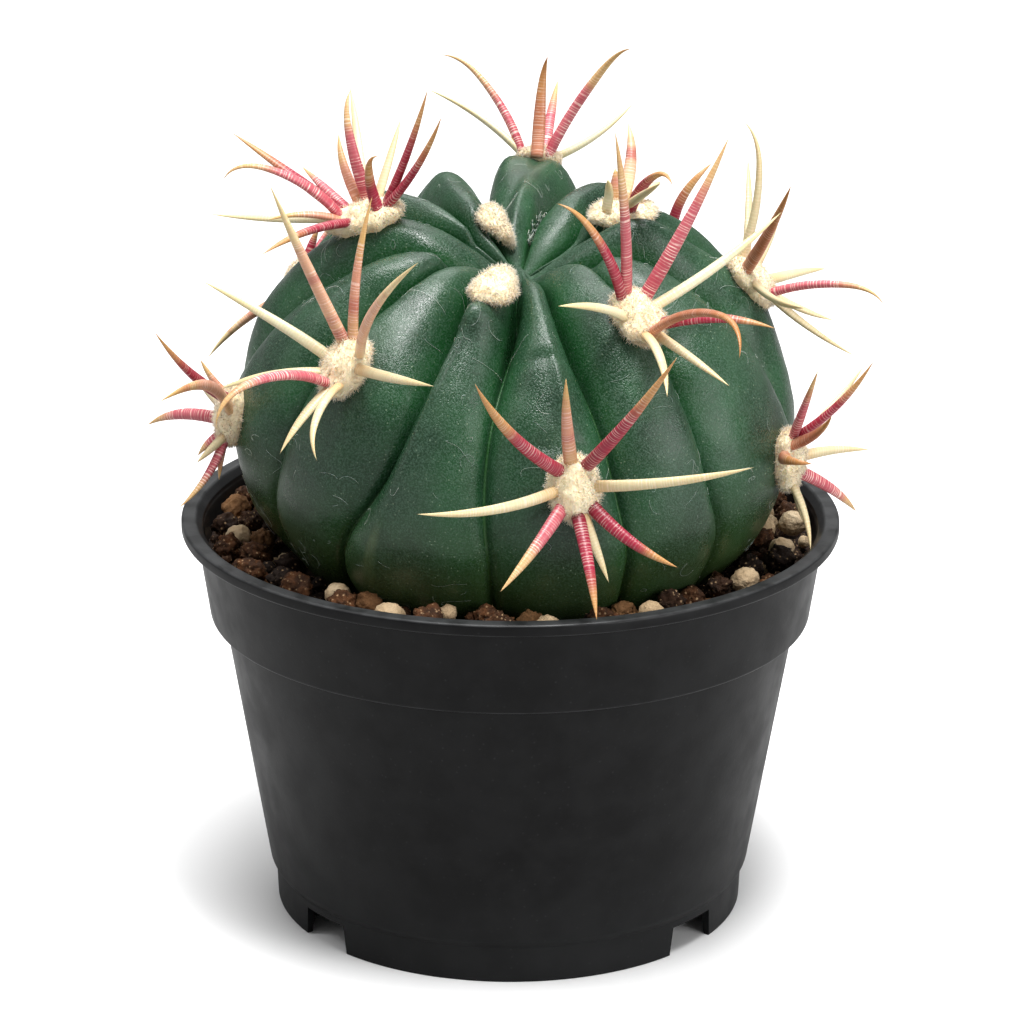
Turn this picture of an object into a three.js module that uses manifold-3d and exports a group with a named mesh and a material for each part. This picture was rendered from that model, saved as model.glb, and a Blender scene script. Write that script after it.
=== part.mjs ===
// A round cactus with thirteen ribs and heavy banded spines, in a plain nursery pot with gritty soil.
// Millimetres, +Z up. The origin is on the ground, on the pot's axis, and the photographed side faces -Y.
// Compass angles run from -Y (0) through +X (90). Polar angles run from the stem's crown (0) to its root.

import * as THREE from 'three';
import { mergeVertices } from 'three/addons/utils/BufferGeometryUtils.js';
import Module from 'manifold-3d';

const wasm = await Module();
wasm.setup();

// ---- Pot -------------------------------------------------------------------------------------------

const rimRadius = 60;
const rimTop = 74.3;
const lipHeight = 2.2;
const lipWidth = 2.5;
const lipRound = 0.5;
const lipInnerDrop = 1.3;
const collarTopRadius = 57.3;
const collarFootRadius = 54.9;
const collarFoot = 56;
const collarFootRound = 0.8;
const innerStepTop = 57;
const wallTopRadius = 52.5;
const wallFootRadius = 44.3;
const footHeight = 6.8;
const footRadius = 43.2;
const footStep = 0.3;
const potWall = 1.2;
const potFloorTop = 8.2;
const potSides = 48;
const notchCompass = [50.5, 129.5, 230.5, 309.5];
const notchTopWidth = 10.6;
const notchFootWidth = 12;
const notchHeight = 5.5;
const notchReach = 8;
const drainRadius = 4.2;
const drainCircleRadius = 29;
const drainSides = 14;
const cutPast = 1;

// ---- Soil ------------------------------------------------------------------------------------------

const soilTop = 69.6;
const fitGap = 0.3;
const stemGap = 0.35;
const soilSeed = 41;
const granuleRings = [43.2, 48, 52.6];
const granuleSpacing = 8.4;
const granuleWander = 0.35;
const granuleStray = 1.2;
const granuleSizes = [2.2, 2.9];
const granuleBreadths = [0.85, 1.15];
const granuleDepths = [0.8, 1];
const granuleRises = [0.1, 0.6];

// ---- Stem ------------------------------------------------------------------------------------------

const ribCount = 13;
const ribPitch = 360 / ribCount;
const stemCentre = new THREE.Vector3(0.7, -0.7, 93.8);
const stemRadius = 50.4;
const stemHalfHeight = 40.5;
const leanForward = 12.5;
const leanRight = 1.5;
const firstRibCompass = -46;
const ribTwist = -3.5;
const twistPolar = 60;
const crownDip = 11;
const crownDipWidth = 15;
const equatorPolar = 90;

// The furrows are deepest just outside the crown, fade out at its middle, and turn creased lower down.
const furrowDepth = 4;
const crownFurrowDepth = 5.5;
const crownFurrowPolar = 28;
const crownFurrowReach = 17;
const furrowStartPolar = 14;
const ribPowers = [2, 3];
const ribPowerPolars = [20, 80];

// How far each crest, and the furrow after it, strays from even spacing: degrees at three polar angles.
const strayPolars = [25, 60, 100];
const strayLimits = [12, 102];
const crestStray = [
  [1, 1, 0], [4, -3, -4], [-4, 1, 8], [1, 2, 4], [1, 3, 6], [4, 3, 2], [-4, -2, 0],
  [0, 0, 0], [5, -2, -2], [8, -2, -2], [2, 2, 0], [-1, -3, -2], [4, 0, -1],
];
const furrowStray = [
  [1, 8, -3], [2, -1, 1], [-8, -4, -2], [-6, -9, -5], [0, 0, 0], [0, 0, 0], [0, 0, 0],
  [0, 0, 0], [0, 0, 0], [0, 0, 0], [0, 0, 0], [0, 0, 0], [0, 2, 2],
];

const acrossSteps = [-1, -0.78, -0.42, 0, 0.42, 0.78];
const polarSteps = [4, 8, 12, 16, 20, 25, 30, 36, 42, 49, 56, 64, 72, 80, 88, 96, 104, 113, 125, 142];
const polarNudge = 0.5;

// ---- Areoles ---------------------------------------------------------------------------------------

// The areoles follow the stem's spiral: each is five ribs on from the one before, and lower down.
const firstAreoleRib = 9;
const ribsPerAreole = 5;
const areolePolar = [11, 25, 24, 33, 38, 49, 54, 53, 80, 72, 82, 84, 86];
const shoulderRise = [1.2, 1.2, 2, 1.2, 1.2, 4, 1.2, 1.2, 1.2, 1.2, 1.2, 1.2, 1.2];
const shoulderReach = 11;
const woolLength = 5.6;
const woolWidth = 4.2;
const woolHeight = 2.7;
const woolSeat = 0.8;
const woolSides = 9;
const woolBands = 5;
const areoleHalfSpan = 1.5;
const areoleHalfAcross = 0.06;

// The spines of each areole, one per row: clock angle round the areole (0 towards the crown, 90 towards
// the next rib), lift off the stem in degrees, length in mm, bend towards the stem and sideways sweep in
// degrees, and weight of the spine.
const heavy = 1;
const slim = 0.85;
const spineRows = {
  2: [
    [117, 43, 13, 17, -37, heavy], [-92, 34, 17, 72, 10, heavy], [-80, 38, 18, 2, 0, slim],
    [-19, 80, 5, 34, -7, slim], [90, 76, 4, 10, 0, slim], [165, 8, 5, 5, 0, slim],
  ],
  3: [
    [167, 35, 26, 80, -5, heavy], [-163, 45, 26, 5, 0, heavy], [-143, 35, 14, 5, 5, slim],
    [-110, 50, 15, 35, 35, slim], [-84, 65, 22, 50, 10, heavy], [-101, 35, 26, 15, -10, slim],
    [-70, 35, 17, 5, -10, slim], [25, 60, 14, 65, -5, heavy], [-15, 50, 24, -10, 0, heavy],
    [0, 40, 23, -20, 0, heavy], [180, 15, 26, -10, 0, slim], [150, 25, 14, 40, 0, slim],
    [114, 15, 22, 25, 0, heavy],
  ],
  4: [
    [-29, 30, 23, 50, -10, heavy], [-8, 55, 32, 15, 0, heavy], [52, 50, 32, 10, -10, heavy],
    [82, 25, 29, 0, -15, slim], [-82, 25, 19, 30, 0, slim], [-172, 45, 34, 70, 50, heavy],
    [135, 30, 21, 35, 15, heavy], [-151, 20, 19, 35, 10, slim], [172, 20, 18, 5, 0, slim],
  ],
  5: [
    [78, 45, 26, 48, -8, heavy], [81, 31, 22, 26, -1, slim], [-13, 68, 18, 46, -32, heavy],
    [-182, 66, 20, 8, 2, heavy], [-60, 40, 27, 49, 23, heavy], [-112, 42, 19, -26, -4, slim],
    [145, 5, 7, 10, 0, slim], [180, 10, 18, 10, 0, slim],
  ],
  6: [
    [-39, 50, 32, 5, 0, heavy], [-12, 25, 26, 20, 5, slim], [43, 40, 33, 35, 0, heavy],
    [-92, 25, 27, 10, -10, slim], [-177, 45, 30, 85, -25, heavy], [80, 25, 29, 5, -5, slim],
    [169, 20, 16, 25, -5, slim], [138, 25, 21, 55, -10, slim], [-134, 20, 19, 30, -15, slim],
  ],
  7: [
    [15, 40, 27, 45, 0, heavy], [58, 30, 21, 10, 0, slim], [-43, 50, 25, 5, 10, heavy],
    [90, 30, 17, 15, 0, slim], [-145, 45, 23, 50, 0, heavy], [-86, 20, 28, -15, 5, slim],
    [-161, 15, 19, -15, 0, slim], [174, 20, 14, -15, -5, slim], [130, 20, 20, 15, 0, slim],
  ],
  8: [
    [130, 19, 20, 39, -1, heavy], [-35, 10, 7, 15, 0, heavy], [-60, 12, 10, 10, 0, slim],
    [-85, 18, 15, 15, 0, slim], [-125, 25, 20, 20, 0, heavy], [-165, 25, 18, 20, 0, slim],
    [165, 12, 12, 10, 0, slim],
  ],
  9: [
    [-35, 30, 29, 0, 30, heavy], [1, 25, 18, 5, 10, heavy], [40, 35, 30, 20, -5, heavy],
    [91, 20, 28, 20, -10, slim], [-84, 20, 28, 25, 20, slim], [-126, 25, 20, 15, 5, heavy],
    [-174, 34, 20, 5, 8, heavy], [170, 8, 13, 5, 0, slim], [136, 25, 19, 15, -30, heavy],
  ],
  10: [
    [-20, 35, 21, -60, -60, heavy], [40, 12, 11, 15, 0, heavy], [4, 10, 7, 10, 0, slim],
    [-100, 12, 13, 15, 0, slim], [88, 10, 13, 15, 5, slim], [-130, 25, 20, 15, 0, heavy],
    [180, 45, 32, 30, 0, heavy], [135, 25, 20, 15, 0, heavy], [-165, 15, 15, 5, 0, slim],
  ],
  11: [
    [19, 41, 26, 13, -23, heavy], [-43, 36, 8, 22, 0, slim], [55, 38, 28, -25, 86, heavy],
    [-130, 37, 18, 22, -48, heavy], [-173, 31, 7, 25, -9, slim], [127, 46, 8, 0, 0, heavy],
    [137, 34, 16, -33, -11, heavy], [148, 6, 8, 10, 0, slim], [-95, 15, 12, 10, 0, slim],
  ],
  12: [
    [-5, 20, 17, 0, 0, heavy], [-25, 40, 15, 35, 0, heavy], [12, 40, 22, 25, 0, heavy],
    [106, 40, 15, -15, 20, slim], [-62, 50, 14, -110, -5, heavy], [143, 25, 18, 30, 10, heavy],
    [-149, 25, 13, 30, 0, slim], [178, 10, 9, 0, -5, slim], [65, 20, 20, 10, 0, slim],
  ],
};
const spineHalfWidth = 1.15;
const spineFlatness = 0.7;
const spineRootOut = 3;
const spineRootStretch = 1.35;
const spineRootRise = 1.6;
const spineRootDepth = 1.5;
const spineTaper = 2.4;
const straightSteps = 4;
const hookedSteps = 6;
// a spine that bends at least this much is a hook: it turns less along its length and more at its tip
const hookBend = 45;
const hookEven = 0.75;
const hookTip = 0.9;
const hookStart = 0.6;

// ---- Colours ---------------------------------------------------------------------------------------

const potPlastic = new THREE.MeshStandardMaterial({ color: 0x282a2c, roughness: 0.6, metalness: 0 });
const darkGrit = new THREE.MeshStandardMaterial({ color: 0x5a4334, roughness: 0.95, metalness: 0 });
const stemSkin = new THREE.MeshStandardMaterial({ color: 0x335c43, roughness: 0.45, metalness: 0 });
const creamWool = new THREE.MeshStandardMaterial({ color: 0xefe0c2, roughness: 1, metalness: 0 });
const spineHorn = new THREE.MeshStandardMaterial({ color: 0xc9616c, roughness: 0.5, metalness: 0 });

// ---- Small helpers ---------------------------------------------------------------------------------

function radians(degrees) {
  return THREE.MathUtils.degToRad(degrees);
}

function between([low, high], share) {
  return THREE.MathUtils.lerp(low, high, share);
}

// A repeatable stream of numbers from 0 to 1.
function numberStream(seed) {
  const factor = 16807;
  const size = 2147483647;
  let state = seed;
  return () => {
    state = (state * factor) % size;
    return state / size;
  };
}

// A closed skin over a stack of equal loops, with a point at each end.
function loftLoops(startPoint, loops, endPoint) {
  const count = loops[0].length;
  const points = [startPoint, ...loops.flat(), endPoint];
  const last = points.length - 1;
  const faces = [];
  for (let side = 0; side < count; side += 1) {
    const next = (side + 1) % count;
    faces.push(0, 1 + side, 1 + next);
    faces.push(last, last - count + next, last - count + side);
    for (let level = 0; level < loops.length - 1; level += 1) {
      const near = 1 + level * count;
      const far = near + count;
      faces.push(near + side, far + side, far + next);
      faces.push(near + side, far + next, near + next);
    }
  }
  const geometry = new THREE.BufferGeometry().setFromPoints(points);
  geometry.setIndex(faces);
  return geometry;
}

function toSolid(geometry) {
  const bare = geometry.clone();
  bare.deleteAttribute('normal');
  bare.deleteAttribute('uv');
  const merged = mergeVertices(bare, 0.0001);
  const vertProperties = new Float32Array(merged.attributes.position.array);
  const triVerts = new Uint32Array(merged.index.array);
  return new wasm.Manifold(new wasm.Mesh({ numProp: 3, vertProperties, triVerts }));
}

function toMesh(name, solid, material) {
  const { vertProperties, triVerts } = solid.getMesh();
  const geometry = new THREE.BufferGeometry();
  geometry.setAttribute('position', new THREE.BufferAttribute(vertProperties, 3));
  geometry.setIndex(new THREE.BufferAttribute(triVerts, 1));
  geometry.computeVertexNormals();
  const mesh = new THREE.Mesh(geometry, material);
  mesh.name = name;
  return mesh;
}

// A turned solid: its profile gives radius and height, and the first side starts at compass 0.
function turned(profile) {
  const points = profile.map(([radius, height]) => new THREE.Vector2(radius, height));
  return toSolid(new THREE.LatheGeometry(points, potSides).rotateX(Math.PI / 2));
}

// ---- Stem surface ----------------------------------------------------------------------------------

const stemTurn = new THREE.Matrix4()
  .makeRotationY(radians(leanRight))
  .multiply(new THREE.Matrix4().makeRotationX(radians(leanForward)));

// The parabola through three values given at strayPolars.
function strayAt(values, polar) {
  const at = THREE.MathUtils.clamp(polar, ...strayLimits);
  const [a, b, c] = strayPolars;
  return values[0] * ((at - b) * (at - c)) / ((a - b) * (a - c))
    + values[1] * ((at - a) * (at - c)) / ((b - a) * (b - c))
    + values[2] * ((at - a) * (at - b)) / ((c - a) * (c - b));
}

function crestCompass(rib, polar) {
  const twist = ribTwist * (THREE.MathUtils.clamp(polar, ...strayLimits) - twistPolar) / twistPolar;
  const lap = (rib + ribCount) % ribCount;
  return firstRibCompass + ribPitch * rib + twist + strayAt(crestStray[lap], polar);
}

function furrowCompass(rib, polar) {
  const lap = (rib + ribCount) % ribCount;
  const middle = (crestCompass(rib, polar) + crestCompass(rib + 1, polar)) / 2;
  return middle + strayAt(furrowStray[lap], polar);
}

// The crest line's radius and height in the stem's own frame: an ellipse with a dipped crown.
function crestLine(polar) {
  const radius = stemRadius * Math.sin(radians(polar));
  const dip = polar < equatorPolar ? crownDip * Math.exp(-((radius / crownDipWidth) ** 2)) : 0;
  return new THREE.Vector2(radius, stemHalfHeight * Math.cos(radians(polar)) - dip);
}

function crestNormal(polar) {
  const along = crestLine(polar + polarNudge).sub(crestLine(polar - polarNudge)).normalize();
  return new THREE.Vector2(-along.y, along.x);
}

function furrowAt(polar) {
  const crown = crownFurrowDepth * Math.exp(-(((polar - crownFurrowPolar) / crownFurrowReach) ** 2));
  return (furrowDepth + crown) * Math.min(polar / furrowStartPolar, 1);
}

const areoleOfRib = areolePolar.map((polar, order) => (firstAreoleRib + ribsPerAreole * order) % ribCount);

function shoulderAt(rib, across, polar) {
  const order = areoleOfRib.indexOf((rib + ribCount) % ribCount);
  const away = (polar - areolePolar[order]) / shoulderReach;
  return shoulderRise[order] * Math.exp(-(away ** 2)) * (1 - across ** 4);
}

// How sharply a rib's flanks fall: rounded near the crown, and flat with creases between lower down.
function ribPowerAt(polar) {
  const at = THREE.MathUtils.clamp(polar, ...ribPowerPolars);
  return THREE.MathUtils.mapLinear(at, ...ribPowerPolars, ...ribPowers);
}

// A point of the stem's skin. Across runs from -1 in the furrow before a rib to 1 in the one after.
function stemPoint(rib, across, polar, lift = 0) {
  const crest = crestCompass(rib, polar);
  const side = across < 0 ? crest - furrowCompass(rib - 1, polar) : furrowCompass(rib, polar) - crest;
  const compass = radians(crest + across * side);
  const flank = furrowAt(polar) * Math.abs(across) ** ribPowerAt(polar);
  const sunk = flank - shoulderAt(rib, across, polar) - lift;
  const line = crestLine(polar).addScaledVector(crestNormal(polar), -sunk);
  const point = new THREE.Vector3(line.x * Math.sin(compass), -line.x * Math.cos(compass), line.y);
  return point.applyMatrix4(stemTurn).add(stemCentre);
}

// The whole stem as one solid, or a thicker copy of it that cuts clearance in its neighbours.
function stemSolid(lift) {
  const loops = polarSteps.map((polar) => {
    const loop = [];
    for (let rib = 0; rib < ribCount; rib += 1) {
      for (const across of acrossSteps) {
        loop.push(stemPoint(rib, across, polar, lift));
      }
    }
    return loop;
  });
  const crown = new THREE.Vector3(0, 0, crestLine(0).y + lift).applyMatrix4(stemTurn).add(stemCentre);
  const root = new THREE.Vector3(0, 0, -stemHalfHeight - lift).applyMatrix4(stemTurn).add(stemCentre);
  return toSolid(loftLoops(crown, loops, root));
}

// ---- Pot -------------------------------------------------------------------------------------------

function wallRadiusAt(height) {
  const share = (height - footHeight) / (collarFoot - footHeight);
  return between([wallFootRadius, wallTopRadius], share);
}

function potShell() {
  const lipFoot = rimTop - lipHeight;
  const footInner = footRadius - potWall;
  return turned([
    [footInner, 0],
    [footRadius, 0],
    [footRadius + footStep, footHeight],
    [wallRadiusAt(footHeight + footStep), footHeight + footStep],
    [wallTopRadius, collarFoot],
    [collarFootRadius - collarFootRound, collarFoot],
    [collarFootRadius, collarFoot + collarFootRound],
    [collarTopRadius, lipFoot],
    [rimRadius - lipRound, lipFoot],
    [rimRadius, lipFoot + lipRound],
    [rimRadius, rimTop - lipRound],
    [rimRadius - lipRound, rimTop],
    [rimRadius - lipWidth, rimTop],
    [collarTopRadius - potWall, rimTop - lipInnerDrop],
    [collarFootRadius - potWall, innerStepTop],
    [wallTopRadius - potWall, collarFoot - potWall],
    [wallRadiusAt(potFloorTop) - potWall, potFloorTop],
    [0, potFloorTop],
    [0, potFloorTop - potWall],
    [footInner - footStep, potFloorTop - potWall],
    [footInner, 0],
  ]);
}

// A notch is wider at the ground than at its top.
function footNotch(compass) {
  const outline = new THREE.Shape([
    new THREE.Vector2(-notchFootWidth / 2, -cutPast),
    new THREE.Vector2(notchFootWidth / 2, -cutPast),
    new THREE.Vector2(notchTopWidth / 2, notchHeight),
    new THREE.Vector2(-notchTopWidth / 2, notchHeight),
  ]);
  const cutter = new THREE.ExtrudeGeometry(outline, { depth: notchReach, bevelEnabled: false });
  cutter.rotateX(Math.PI / 2).translate(0, -footRadius + notchReach / 2, 0).rotateZ(radians(compass));
  return toSolid(cutter);
}

function drainHole(radius, compass) {
  const drill = new THREE.CylinderGeometry(drainRadius, drainRadius, potWall + 2 * cutPast, drainSides);
  drill.rotateX(Math.PI / 2).translate(0, -radius, potFloorTop - potWall / 2).rotateZ(radians(compass));
  return toSolid(drill);
}

function pot() {
  let shell = potShell().subtract(drainHole(0, 0));
  for (const compass of notchCompass) {
    shell = shell.subtract(footNotch(compass));
    shell = shell.subtract(drainHole(drainCircleRadius, compass));
  }
  return toMesh('pot', shell, potPlastic);
}

// ---- Soil ------------------------------------------------------------------------------------------

function soilBed() {
  const inset = potWall + fitGap;
  const climb = (soilTop - collarFoot) / (rimTop - lipHeight - collarFoot);
  return turned([
    [0, potFloorTop + fitGap],
    [wallRadiusAt(potFloorTop) - inset, potFloorTop + fitGap],
    [wallTopRadius - inset, collarFoot - potWall],
    [collarFootRadius - inset, innerStepTop],
    [between([collarFootRadius, collarTopRadius], climb) - inset, soilTop],
    [0, soilTop],
  ]);
}

// A rough pebble of the gritty top layer.
function granule(radius, compass, draw) {
  const stone = new THREE.IcosahedronGeometry(between(granuleSizes, draw()), 0);
  stone.scale(1, between(granuleBreadths, draw()), between(granuleDepths, draw()));
  stone.rotateX(draw() * Math.PI).rotateZ(draw() * Math.PI);
  stone.translate(0, -radius, soilTop + between(granuleRises, draw())).rotateZ(radians(compass));
  return toSolid(stone);
}

function soil(stemClearance) {
  const draw = numberStream(soilSeed);
  let bed = soilBed();
  granuleRings.forEach((ring, order) => {
    const count = Math.round(2 * Math.PI * ring / granuleSpacing);
    const stagger = (order % 2) / 2;
    for (let place = 0; place < count; place += 1) {
      const compass = (place + stagger + granuleWander * (draw() - 0.5)) * 360 / count;
      bed = bed.add(granule(ring + granuleStray * (draw() - 0.5), compass, draw));
    }
  });
  return toMesh('soil', bed.subtract(stemClearance), darkGrit);
}

// ---- Areoles and spines ----------------------------------------------------------------------------

// The place of an areole on its crest, with the directions to the crown, to the next rib and outwards.
function areoleFrame(order) {
  const rib = areoleOfRib[order];
  const polar = areolePolar[order];
  const place = stemPoint(rib, 0, polar);
  const up = stemPoint(rib, 0, polar - areoleHalfSpan);
  up.sub(stemPoint(rib, 0, polar + areoleHalfSpan)).normalize();
  const side = stemPoint(rib, areoleHalfAcross, polar);
  side.sub(stemPoint(rib, -areoleHalfAcross, polar));
  side.addScaledVector(up, -side.dot(up)).normalize();
  return { place, up, side, out: side.clone().cross(up) };
}

function woolPad({ place, up, side, out }) {
  const pad = new THREE.SphereGeometry(1, woolSides, woolBands);
  const axes = new THREE.Matrix4().makeBasis(
    side.clone().multiplyScalar(woolWidth),
    out.clone().multiplyScalar(woolHeight),
    up.clone().multiplyScalar(-woolLength),
  );
  axes.setPosition(place.clone().addScaledVector(out, woolSeat));
  return toSolid(pad.applyMatrix4(axes));
}

function mix(first, second, angle) {
  return first.clone().multiplyScalar(Math.cos(angle)).addScaledVector(second, Math.sin(angle));
}

// How far a spine has turned from its mean direction at a share of its length, as a share of its bend.
function bendAt(along, bend) {
  if (Math.abs(bend) < hookBend) {
    return along - 0.5;
  }
  const tip = Math.max(0, (along - hookStart) / (1 - hookStart)) ** 2;
  return hookEven * (along - 0.5) + hookTip * (tip - (1 - hookStart) / 3);
}

// A flattened, tapering horn that starts in the wool and bends along its length.
function spine({ place, up, side, out }, [clock, lift, length, bend, sweep, weight]) {
  const spread = radians(clock);
  const away = mix(up, side, spread);
  const beside = mix(side, up, -spread);
  const point = place.clone().addScaledVector(out, spineRootRise);
  point.addScaledVector(up, spineRootOut * spineRootStretch * Math.cos(spread));
  point.addScaledVector(side, spineRootOut * Math.sin(spread));
  const steps = Math.abs(bend) < hookBend ? straightSteps : hookedSteps;
  const loops = [];
  const root = point.clone();
  for (let step = 0; step < steps; step += 1) {
    const along = (step + 0.5) / steps;
    const turn = radians(sweep * (along - 0.5));
    const heading = mix(mix(away, beside, turn), out, radians(lift - bend * bendAt(along, bend)));
    const wide = mix(beside, away, -turn);
    const thick = wide.clone().cross(heading);
    const half = spineHalfWidth * weight * (1 - (step / steps) ** spineTaper);
    if (step === 0) {
      root.addScaledVector(heading, -spineRootDepth);
    }
    loops.push([
      point.clone().addScaledVector(wide, half),
      point.clone().addScaledVector(thick, half * spineFlatness),
      point.clone().addScaledVector(wide, -half),
      point.clone().addScaledVector(thick, -half * spineFlatness),
    ]);
    point.addScaledVector(heading, length / steps);
  }
  return toSolid(loftLoops(root, loops, point));
}

function spineCluster(order, stemClearance) {
  const frame = areoleFrame(order);
  let cluster = woolPad(frame);
  for (const row of spineRows[order]) {
    cluster = cluster.add(spine(frame, row));
  }
  return toMesh(`spine_cluster_${order}`, cluster.subtract(stemClearance), spineHorn);
}

// The two youngest areoles, in the crown, have wool and no spines yet.
function crownWool(order, stemClearance) {
  const tuft = woolPad(areoleFrame(order)).subtract(stemClearance);
  return toMesh(`crown_wool_${order}`, tuft, creamWool);
}

// ---- Assembly --------------------------------------------------------------------------------------

const stemClearance = stemSolid(stemGap);
const group = new THREE.Group();
group.add(pot());
group.add(soil(stemClearance));
group.add(toMesh('stem', stemSolid(0), stemSkin));
areolePolar.forEach((polar, order) => {
  const piece = spineRows[order] ? spineCluster(order, stemClearance) : crownWool(order, stemClearance);
  group.add(piece);
});

export default group;
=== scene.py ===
import math
import random

import bpy
import numpy as np
from mathutils import Matrix, Vector, noise
from mathutils.bvhtree import BVHTree


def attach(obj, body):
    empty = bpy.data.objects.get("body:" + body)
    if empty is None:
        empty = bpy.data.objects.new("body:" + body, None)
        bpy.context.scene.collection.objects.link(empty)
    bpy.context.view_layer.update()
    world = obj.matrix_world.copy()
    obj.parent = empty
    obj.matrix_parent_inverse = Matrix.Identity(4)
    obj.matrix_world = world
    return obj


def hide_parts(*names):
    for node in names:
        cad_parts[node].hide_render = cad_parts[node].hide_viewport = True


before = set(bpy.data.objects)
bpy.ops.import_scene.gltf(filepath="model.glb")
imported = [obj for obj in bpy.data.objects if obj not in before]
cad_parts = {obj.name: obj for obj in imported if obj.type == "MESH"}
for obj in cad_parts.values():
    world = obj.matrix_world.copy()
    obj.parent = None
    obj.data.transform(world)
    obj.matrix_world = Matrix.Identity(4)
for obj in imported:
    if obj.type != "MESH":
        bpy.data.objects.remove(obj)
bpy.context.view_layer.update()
print("frame loaded:", len(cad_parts), "nodes")

# Lengths in the dictionaries are millimetres, and angles are degrees. A noise is given as its scale,
# detail and roughness, a relief as its strength and depth, and an edge or a fade as the two values
# between which it changes, with the shares at both where they aren't 0 and 1.
mm = 0.001


def paint(red, green, blue):
    # screen colour, 0 to 255, to the linear colour that shaders take
    def channel(value):
        share = value / 255
        return share / 12.92 if share <= 0.04045 else ((share + 0.055) / 1.055) ** 2.4
    return (channel(red), channel(green), channel(blue), 1.0)


def between(low, high, share):
    return low + (high - low) * share


def bell(value, middle, reach):
    return np.exp(-((value - middle) / reach) ** 2)


def atCompass(radius, angle):
    # a place round the axis, with 0 towards the viewer and a quarter turn to the right
    return radius * math.sin(angle), -radius * math.cos(angle)


def unit(vector):
    return vector / np.linalg.norm(vector)


def turned(first, second, angle):
    return first * math.cos(angle) + second * math.sin(angle)


def makePiece(name, points, faces, material, nodes):
    mesh = bpy.data.meshes.new(name)
    mesh.from_pydata((np.asarray(points) * mm).tolist(), [], faces)
    mesh.polygons.foreach_set("use_smooth", [True] * len(mesh.polygons))
    mesh.materials.append(material)
    mesh.update()
    piece = bpy.data.objects.new(name, mesh)
    bpy.context.collection.objects.link(piece)
    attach(piece, "root")
    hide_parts(*nodes)
    return piece


def addValues(piece, name, values):
    layer = piece.data.attributes.new(name, "FLOAT", "POINT")
    layer.data.foreach_set("value", np.asarray(values, dtype=np.float32))


def sideFaces(start, loops, count):
    # quads between equal closed loops that follow one another
    faces = []
    for low in range(start, start + (loops - 1) * count, count):
        high = low + count
        for side in range(count):
            beyond = (side + 1) % count
            faces.append((low + side, low + beyond, high + beyond, high + side))
    return faces


def threadRing(middle, first, second, width, sides=3):
    # corners round a thin thread, in the plane of two directions
    return [middle + turned(first, second, 2 * math.pi * side / sides) * width for side in range(sides)]


def loftFaces(loops, count, first=0):
    # quads between equal closed loops, with a point at each end: start, loops, end
    faces = []
    last = first + 1 + loops * count
    for side in range(count):
        beyond = (side + 1) % count
        faces.append((first, first + 1 + side, first + 1 + beyond))
        faces.append((last, last - count + beyond, last - count + side))
        for level in range(loops - 1):
            near = first + 1 + level * count
            far = near + count
            faces.append((near + side, far + side, far + beyond, near + beyond))
    return faces


def startMaterial(name):
    material = bpy.data.materials.new(name)
    material.use_nodes = True
    tree = material.node_tree
    return material, tree, tree.nodes["Principled BSDF"]


def feed(tree, socket, value):
    # a socket takes another node's output, or a plain value
    if isinstance(value, bpy.types.NodeSocket):
        tree.links.new(value, socket)
    else:
        socket.default_value = value


def objectPlace(tree):
    return tree.nodes.new("ShaderNodeTexCoord").outputs["Object"]


def attributeValue(tree, name):
    node = tree.nodes.new("ShaderNodeAttribute")
    node.attribute_name = name
    return node.outputs["Fac"]


def joined(tree, x, y, z):
    node = tree.nodes.new("ShaderNodeCombineXYZ")
    for socket, value in zip(node.inputs, (x, y, z)):
        feed(tree, socket, value)
    return node.outputs["Vector"]


def noiseValue(tree, place, scale, detail=2.0, roughness=0.5):
    node = tree.nodes.new("ShaderNodeTexNoise")
    feed(tree, node.inputs["Vector"], place)
    feed(tree, node.inputs["Scale"], scale)
    node.inputs["Detail"].default_value = detail
    node.inputs["Roughness"].default_value = roughness
    return node.outputs["Fac"]


def remap(tree, value, fromLow, fromHigh, toLow=0.0, toHigh=1.0):
    node = tree.nodes.new("ShaderNodeMapRange")
    node.interpolation_type = "SMOOTHSTEP"
    feed(tree, node.inputs["Value"], value)
    node.inputs["From Min"].default_value = fromLow
    node.inputs["From Max"].default_value = fromHigh
    feed(tree, node.inputs["To Min"], toLow)
    feed(tree, node.inputs["To Max"], toHigh)
    return node.outputs["Result"]


def sums(tree, operation, first, second=0.0):
    node = tree.nodes.new("ShaderNodeMath")
    node.operation = operation
    feed(tree, node.inputs[0], first)
    feed(tree, node.inputs[1], second)
    return node.outputs["Value"]


def times(tree, first, second):
    return sums(tree, "MULTIPLY", first, second)


def plus(tree, first, second):
    return sums(tree, "ADD", first, second)


def mixColours(tree, share, first, second):
    node = tree.nodes.new("ShaderNodeMix")
    node.data_type = "RGBA"
    feed(tree, node.inputs["Factor"], share)
    feed(tree, node.inputs["A"], first)
    feed(tree, node.inputs["B"], second)
    return node.outputs["Result"]


def pickColour(tree, share, colours):
    # equal steps of a ramp from 0 to 1, one for each colour
    node = tree.nodes.new("ShaderNodeValToRGB")
    node.color_ramp.interpolation = "CONSTANT"
    while len(node.color_ramp.elements) < len(colours):
        node.color_ramp.elements.new(0.5)
    for order, (element, colour) in enumerate(zip(node.color_ramp.elements, colours)):
        element.position = order / len(colours)
        element.color = paint(*colour)
    feed(tree, node.inputs["Fac"], share)
    return node.outputs["Color"]


def bump(tree, height, strength, distance, under=None):
    node = tree.nodes.new("ShaderNodeBump")
    feed(tree, node.inputs["Height"], height)
    node.inputs["Strength"].default_value = strength
    node.inputs["Distance"].default_value = distance * mm
    if under:
        feed(tree, node.inputs["Normal"], under)
    return node.outputs["Normal"]


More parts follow.
